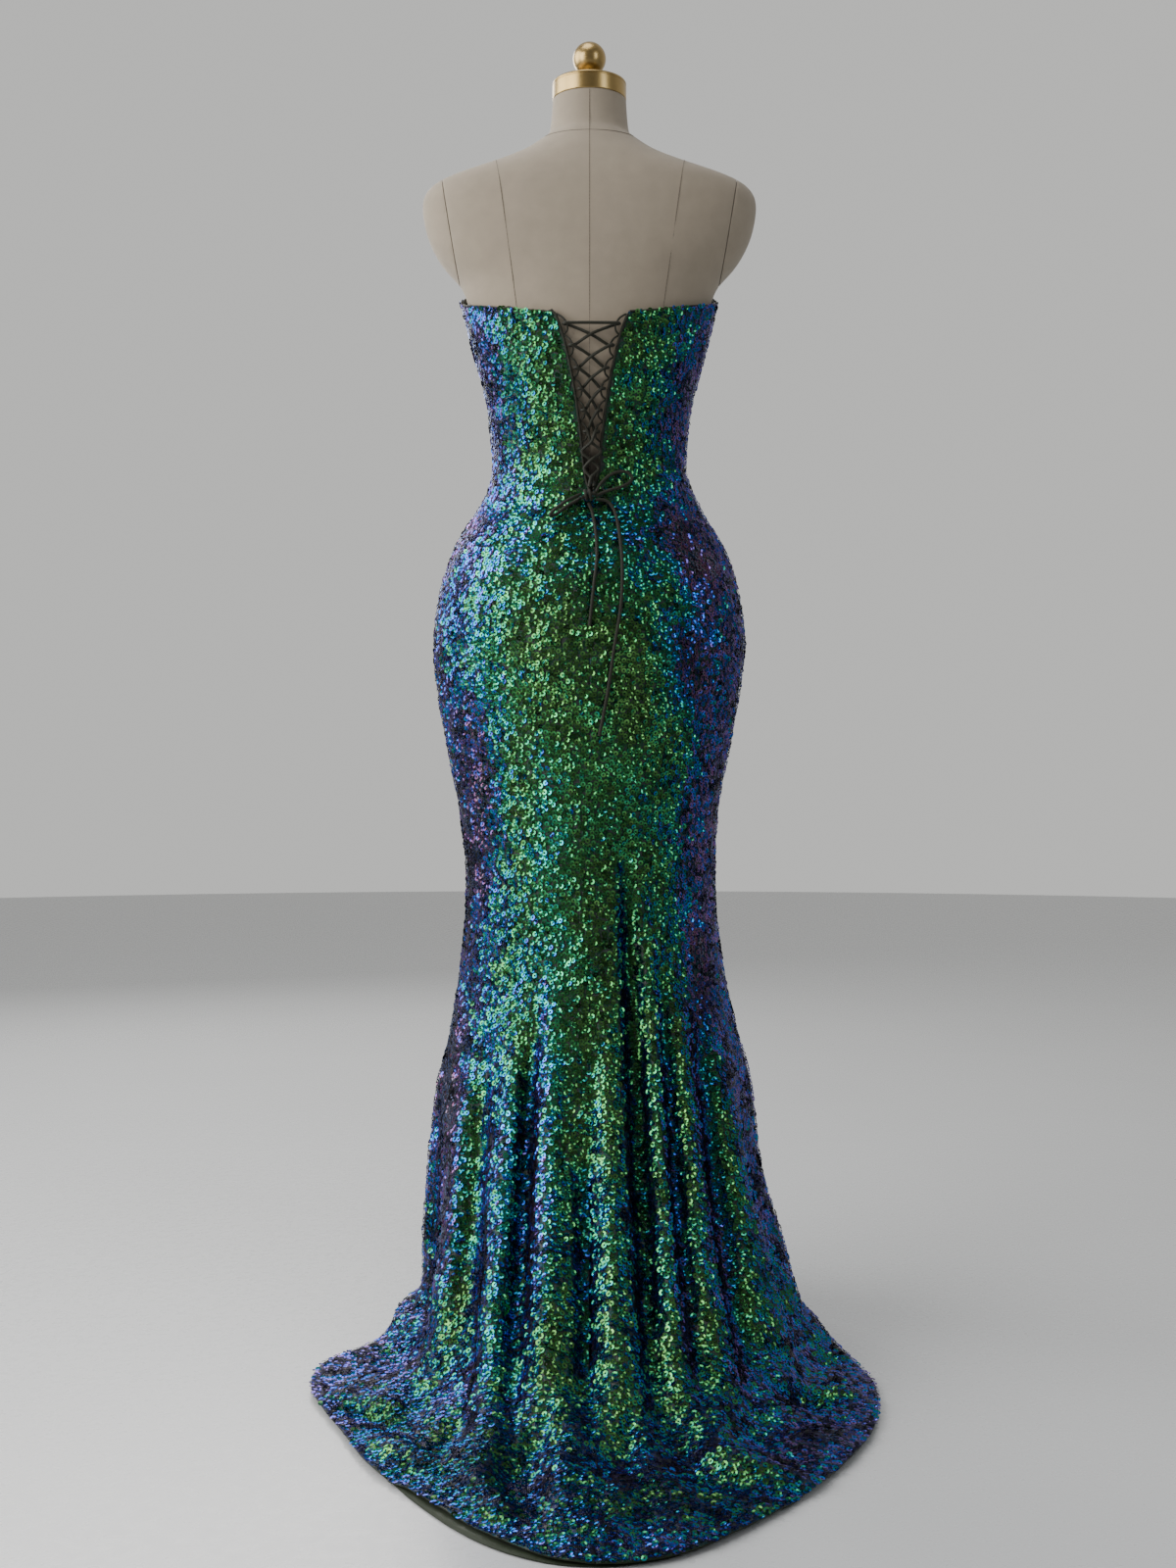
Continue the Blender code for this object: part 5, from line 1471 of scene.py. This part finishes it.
class GOWN_OT_bow(bpy.types.Operator):
    """Tie the lace's ends in a limp bow and let its tails hang."""

    bl_idname = "gown.bow"
    bl_label = "Bow"

    def execute(self, context):
        back = BackSurface(cloth_meshes())
        diameter = context.scene.gown_lacing.diameter
        self.knot(back, diameter)
        for name, far_end, route in BOW_ROUTES:
            points = [back.point(KNOT_CENTRE[0] + x, KNOT_CENTRE[1] + up, out) for x, up, out in route]
            mesh, line = tube(f"{name}_cord", points, diameter / 2, sides=12, count=len(points) * 7)
            obj = new_piece(f"{name}_cord", mesh, "Olive Satin Cord")
            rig.replaces(obj, name)
            length = sum((b - a).length for a, b in zip(line, line[1:]))
            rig.cord(
                obj, exit=line[0], length=round(length, 3), diameter=diameter, far_end=far_end,
                stiffness="limp", lay="hanging", path=line,
            )
        return {"FINISHED"}

    def knot(self, back, diameter):
        """A band of the cord wound round the crossing of the two ends."""
        centre = back.point(*KNOT_CENTRE)
        wound = []
        for step in range(30):
            angle = math.tau * 1.7 * step / 29
            place = Vector((0.0046 - 0.0092 * step / 29, 0.0038 * math.sin(angle), 0.0052 * math.cos(angle)))
            wound.append(centre + place)
        core = [centre + Vector(place) for place in (
            (-0.0080, -0.0006, 0.0030), (-0.0030, 0.0008, 0.0012),
            (0.0030, -0.0004, -0.0010), (0.0078, 0.0, -0.0028),
        )]
        meshes = [
            tube("knot_band", wound, diameter * 0.46, sides=12, count=90)[0],
            tube("knot_core", core, diameter * 0.62, sides=12, count=16)[0],
        ]
        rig.replaces(new_piece("knot", joined("knot", meshes), "Olive Satin Cord"), "bow_knot")


def form_tree(*names):
    bm = bmesh.new()
    for name in names:
        bm.from_mesh(frame["nodes"][name].data)
    tree = BVHTree.FromBMesh(bm)
    bm.free()
    return tree


class GOWN_OT_form(bpy.types.Operator):
    """Cover the dress form: torso, arm caps and sewn seams."""

    bl_idname = "gown.form"
    bl_label = "Dress Form"

    SEGMENTS = 36

    def execute(self, context):
        whole = self.rounded()
        top = Vector((ARM_CUT_TOP[0], 0, ARM_CUT_TOP[1]))
        bottom = Vector((ARM_CUT_BOTTOM[0], 0, ARM_CUT_BOTTOM[1]))
        lean = (top - bottom).normalized()
        out = Vector((lean.z, 0.0, -lean.x))
        torso = bmesh.new()
        torso.from_mesh(whole)
        for side in (1, -1):
            self.cut(torso, Vector((bottom.x * side, 0, bottom.z)), Vector((out.x * side, 0, out.z)))
        obj = new_piece("linen_torso", mesh_of("linen_torso", torso, sharp=50.0), "Form Linen")
        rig.replaces(obj, "form_torso")
        for name, side in (("left", 1), ("right", -1)):
            cap = bmesh.new()
            cap.from_mesh(whole)
            away = Vector((out.x * side, 0, out.z))
            place = Vector((bottom.x * side, 0, bottom.z)) + away * ARM_SEAM
            far = [v for v in cap.verts if (v.co - place).dot(away) < -0.02 or v.co.z < 1.2]
            bmesh.ops.delete(cap, geom=far, context="VERTS")
            self.cut(cap, place, -away)
            obj = new_piece(f"linen_arm_cap_{name}", mesh_of("cap", cap, sharp=50.0), "Form Linen")
            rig.replaces(obj, f"form_arm_cap_{name}")
        bpy.data.meshes.remove(whole)
        self.seams(context.scene.gown_form.seam_cord)
        return {"FINISHED"}

    def rounded(self):
        """The uncut form, loft through the frame's own rings and smoothed."""
        tree = form_tree("form_torso", "form_arm_cap_left", "form_arm_cap_right")
        data = frame["nodes"]["form_torso"].data
        heights = sorted({round(v.co.z, 4) for v in data.vertices if abs(v.co.x) < 0.0002 and v.co.y < -0.02})
        bm = bmesh.new()
        label = bm.verts.layers.int.new("around")
        ring = bmesh.ops.create_circle(bm, segments=self.SEGMENTS, radius=1.0)["verts"]
        for number, vert in enumerate(ring):
            vert[label] = number
        edges = bm.edges[:]
        for level, z in enumerate(heights):
            if level:
                made = bmesh.ops.extrude_edge_only(bm, edges=edges)["geom"]
                ring = [item for item in made if isinstance(item, bmesh.types.BMVert)]
                edges = [
                    item for item in made
                    if isinstance(item, bmesh.types.BMEdge)
                    and item.verts[0] in ring and item.verts[1] in ring
                ]
            inside = z + (0.0001 if level < len(heights) - 1 else -0.0001)
            for vert in ring:
                angle = math.tau * vert[label] / self.SEGMENTS
                way = Vector((math.sin(angle), math.cos(angle), 0.0))
                hit = tree.ray_cast(Vector((0, 0, inside)) + way * 0.6, -way)[0]
                vert.co = (hit.x, hit.y, z)
        smooth = subdivided(bm, 2, "form")
        bm = bmesh.new()
        bm.from_mesh(smooth)
        bmesh.ops.holes_fill(bm, edges=bm.edges[:], sides=0)
        bmesh.ops.recalc_face_normals(bm, faces=bm.faces[:])
        bm.to_mesh(smooth)
        bm.free()
        return smooth

    def cut(self, bm, place, away):
        """Cuts off what lies beyond the plane above the bust, and closes it with a softened edge."""
        high = [face for face in bm.faces if face.calc_center_median().z > 1.245]
        geom = set(high)
        for face in high:
            geom.update(face.edges)
            geom.update(face.verts)
        bmesh.ops.bisect_plane(
            bm, geom=list(geom), dist=0.00002, plane_co=place, plane_no=away, clear_outer=True,
        )
        rim = [edge for edge in bm.edges if edge.is_boundary]
        bmesh.ops.holes_fill(bm, edges=rim, sides=0)
        rim = [edge for edge in rim if edge.is_valid]
        bmesh.ops.bevel(bm, geom=rim, offset=0.0009, segments=2, affect="EDGES", profile=0.5, material=-1,
                        clamp_overlap=True)

    def seams(self, width):
        """Thin sewn ridges half sunk in the linen."""
        tree = form_tree("form_torso")
        meshes = []
        for name, facing, points in SEAM_ROWS:
            line = []
            for x, z in smooth_route(points, 40):
                hit = tree.ray_cast(Vector((x, facing * 0.6, z)), Vector((0.0, -facing, 0.0)))[0]
                if hit:
                    line.append(hit)
            meshes.append(tube(name, thinned(line, 0.003), width / 2, sides=6, count=len(line) * 2)[0])
        new_piece("linen_seams", joined("linen_seams", meshes), "Seam Thread")


def turned(name, profile, steps, finish):
    """A closed solid turned round the pole's axis from its profile of radius and height."""
    bm = bmesh.new()
    verts = [bm.verts.new((radius, 0.0, z)) for radius, z in profile]
    edges = [bm.edges.new(pair) for pair in zip(verts, verts[1:])]
    bmesh.ops.spin(
        bm, geom=verts + edges, cent=(0, 0, 0), axis=(0, 0, 1), angle=math.tau, steps=steps, use_merge=True,
    )
    bmesh.ops.remove_doubles(bm, verts=bm.verts[:], dist=0.00001)
    return new_piece(name, mesh_of(name, bm, sharp=35.0), finish)


def arc(centre, radius, start, end, steps):
    angles = [math.radians(start + (end - start) * step / steps) for step in range(steps + 1)]
    return [(centre[0] + radius * math.cos(a), centre[1] + radius * math.sin(a)) for a in angles]


class GOWN_OT_neck(bpy.types.Operator):
    """Turn the brass neck plate and its ball."""

    bl_idname = "gown.neck"
    bl_label = "Neck Plate and Ball"

    def execute(self, context):
        low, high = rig.box("form_neck_plate")
        radius, bottom, top = high.x, low.z, high.z
        edge, bead = 0.0025, 0.0012
        plate = [
            (0.0, bottom), (radius - bead, bottom),
            *arc((radius - bead, bottom + bead), bead, -75, 0, 4),
        ]
        plate += [(radius, top - edge - 0.0045), (radius - 0.0004, top - edge - 0.0042)]
        plate += [(radius - 0.0004, top - edge - 0.0036), (radius, top - edge - 0.0033)]
        plate += arc((radius - edge, top - 0.0020 - edge), edge, 5, 85, 6)
        plate += [(radius * 0.55, top - 0.0008), (0.016, top - 0.0003), (0.0, top)]
        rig.replaces(turned("brass_neck_plate", plate, 96, "Satin Brass"), "form_neck_plate")
        low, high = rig.box("form_finial")
        ball = high.x
        centre = (0.0, high.z - ball)
        finial = [(0.0, low.z), (0.0125, low.z), *arc((0.0118, low.z + 0.0009), 0.0009, -60, 60, 4)]
        finial += [(0.0098, low.z + 0.0022), (0.0085, low.z + 0.0034)]
        finial += arc(centre, ball, -62, 84, 22)
        finial += [(0.0, high.z)]
        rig.replaces(turned("brass_ball", finial, 72, "Satin Brass"), "form_finial")
        return {"FINISHED"}


class GOWN_OT_stand(bpy.types.Operator):
    """Finish the stand's pole and base, which keep their shape."""

    bl_idname = "gown.stand"
    bl_label = "Stand"

    def execute(self, context):
        for node in ("stand_pole", "stand_base"):
            obj = frame["nodes"][node]
            for slot in obj.material_slots:
                slot.material = finish_of("Stand Steel")
        return {"FINISHED"}


class GOWN_OT_stage(bpy.types.Operator):
    """Lay the pale floor and hang the soft studio lights."""

    bl_idname = "gown.stage"
    bl_label = "Studio"

    LIGHTS = (
        ("window", (2.35, 1.70, 1.70), (0.0, 0.1, 0.75), (1.7, 2.5), 0.56, (1.0, 0.985, 0.96)),
        ("side_window", (2.45, -0.20, 2.00), (0.0, 0.1, 0.90), (1.7, 2.2), 0.46, (1.0, 0.99, 0.97)),
        ("sky_fill", (-2.1, 2.1, 1.9), (0.0, 0.1, 0.7), (0.7, 1.9), 0.12, (0.92, 0.96, 1.0)),
        ("front_fill", (1.2, -2.8, 2.2), (0.0, -0.1, 0.8), (1.8, 1.8), 0.40, (1.0, 0.98, 0.95)),
        ("top_glow", (0.3, 0.4, 3.2), (0.0, 0.1, 0.6), (1.2, 1.2), 0.12, (1.0, 1.0, 1.0)),
    )

    def execute(self, context):
        settings = context.scene.gown_studio
        bm = bmesh.new()
        bmesh.ops.create_circle(bm, cap_ends=True, segments=96, radius=9.0)
        bmesh.ops.translate(bm, vec=(0, 0, CAD_BOX[0][2] - 0.0004), verts=bm.verts[:])
        mesh = bpy.data.meshes.new("floor")
        bm.to_mesh(mesh)
        bm.free()
        floor = bpy.data.objects.new("floor", mesh)
        context.scene.collection.objects.link(floor)
        made, tree, shader = new_material("Pale Floor")
        wear = placed_group(tree, "Soft Wear", patch_scale=2.5, grain_scale=60.0)
        dark = tuple(part * 0.93 for part in settings.floor)
        shade = mixed(tree, wear.outputs["Patches"], dark, tuple(settings.floor))
        tree.links.new(shade, shader.inputs["Base Color"])
        tree.links.new(maths(tree, "ADD", maths(tree, "MULTIPLY", wear.outputs["Grain"], 0.12), 0.22),
                       shader.inputs["Roughness"])
        mesh.materials.append(made)
        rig.stage(floor)
        for name, place, aim, size, share, colour in self.LIGHTS:
            data = bpy.data.lights.new(name, "AREA")
            data.shape = "RECTANGLE"
            data.size, data.size_y = size
            data.energy = settings.window_power * share
            data.color = colour
            light = bpy.data.objects.new(name, data)
            light.location = place
            light.rotation_euler = (Vector(aim) - Vector(place)).to_track_quat("-Z", "Y").to_euler()
            context.scene.collection.objects.link(light)
        world = bpy.data.worlds.new("studio")
        world.use_nodes = True
        tree = world.node_tree
        back = tree.nodes["Background"]
        around = node_of(tree, "ShaderNodeTexCoord").outputs["Generated"]
        away = node_of(tree, "ShaderNodeSeparateXYZ", {0: around})
        place = maths(tree, "ADD", maths(tree, "MULTIPLY", away.outputs[1], 0.5), 0.5)
        grey = ramp_of(tree, place, ((0.25, (0.62, 0.62, 0.605)), (0.75, (0.20, 0.20, 0.20))))
        tree.links.new(grey, back.inputs["Color"])
        context.scene.world = world
        return {"FINISHED"}


class GOWN_PT_sidebar(bpy.types.Panel):
    """Lists the gown's settings and the steps that build it."""

    bl_label = "Evening Gown"
    bl_idname = "GOWN_PT_sidebar"
    bl_space_type = "VIEW_3D"
    bl_region_type = "UI"
    bl_category = "Gown"

    def draw(self, context):
        for name in SETTINGS:
            settings = getattr(context.scene, name)
            box = self.layout.box()
            for prop in settings.bl_rna.properties:
                if not prop.is_readonly and prop.identifier != "name":
                    box.prop(settings, prop.identifier)
        for step in STEPS:
            self.layout.operator(step.bl_idname)


SETTINGS = {
    "gown_cloth": ClothSettings,
    "gown_sequins": SequinSettings,
    "gown_lacing": LacingSettings,
    "gown_form": FormSettings,
    "gown_studio": StudioSettings,
}
STEPS = (
    GOWN_OT_camera, GOWN_OT_cloth, GOWN_OT_bow, GOWN_OT_lacing, GOWN_OT_sequins, GOWN_OT_linings,
    GOWN_OT_facing, GOWN_OT_form, GOWN_OT_neck, GOWN_OT_stand, GOWN_OT_stage,
)
CLASSES = (*SETTINGS.values(), *STEPS, GOWN_PT_sidebar)


def register():
    for made in CLASSES:
        bpy.utils.register_class(made)
    for name, group in SETTINGS.items():
        setattr(bpy.types.Scene, name, bpy.props.PointerProperty(type=group))


def unregister():
    for name in SETTINGS:
        delattr(bpy.types.Scene, name)
    for made in reversed(CLASSES):
        bpy.utils.unregister_class(made)


def main():
    register()
    for step in STEPS:
        family, operator = step.bl_idname.split(".")
        getattr(getattr(bpy.ops, family), operator)()
    sizes = {"cad": [list(corner) for corner in CAD_BOX], "visual": [list(corner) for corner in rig.bounds()]}
    with open("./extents.json", "w") as target:
        json.dump(sizes, target)


if __name__ == "__main__":
    main()
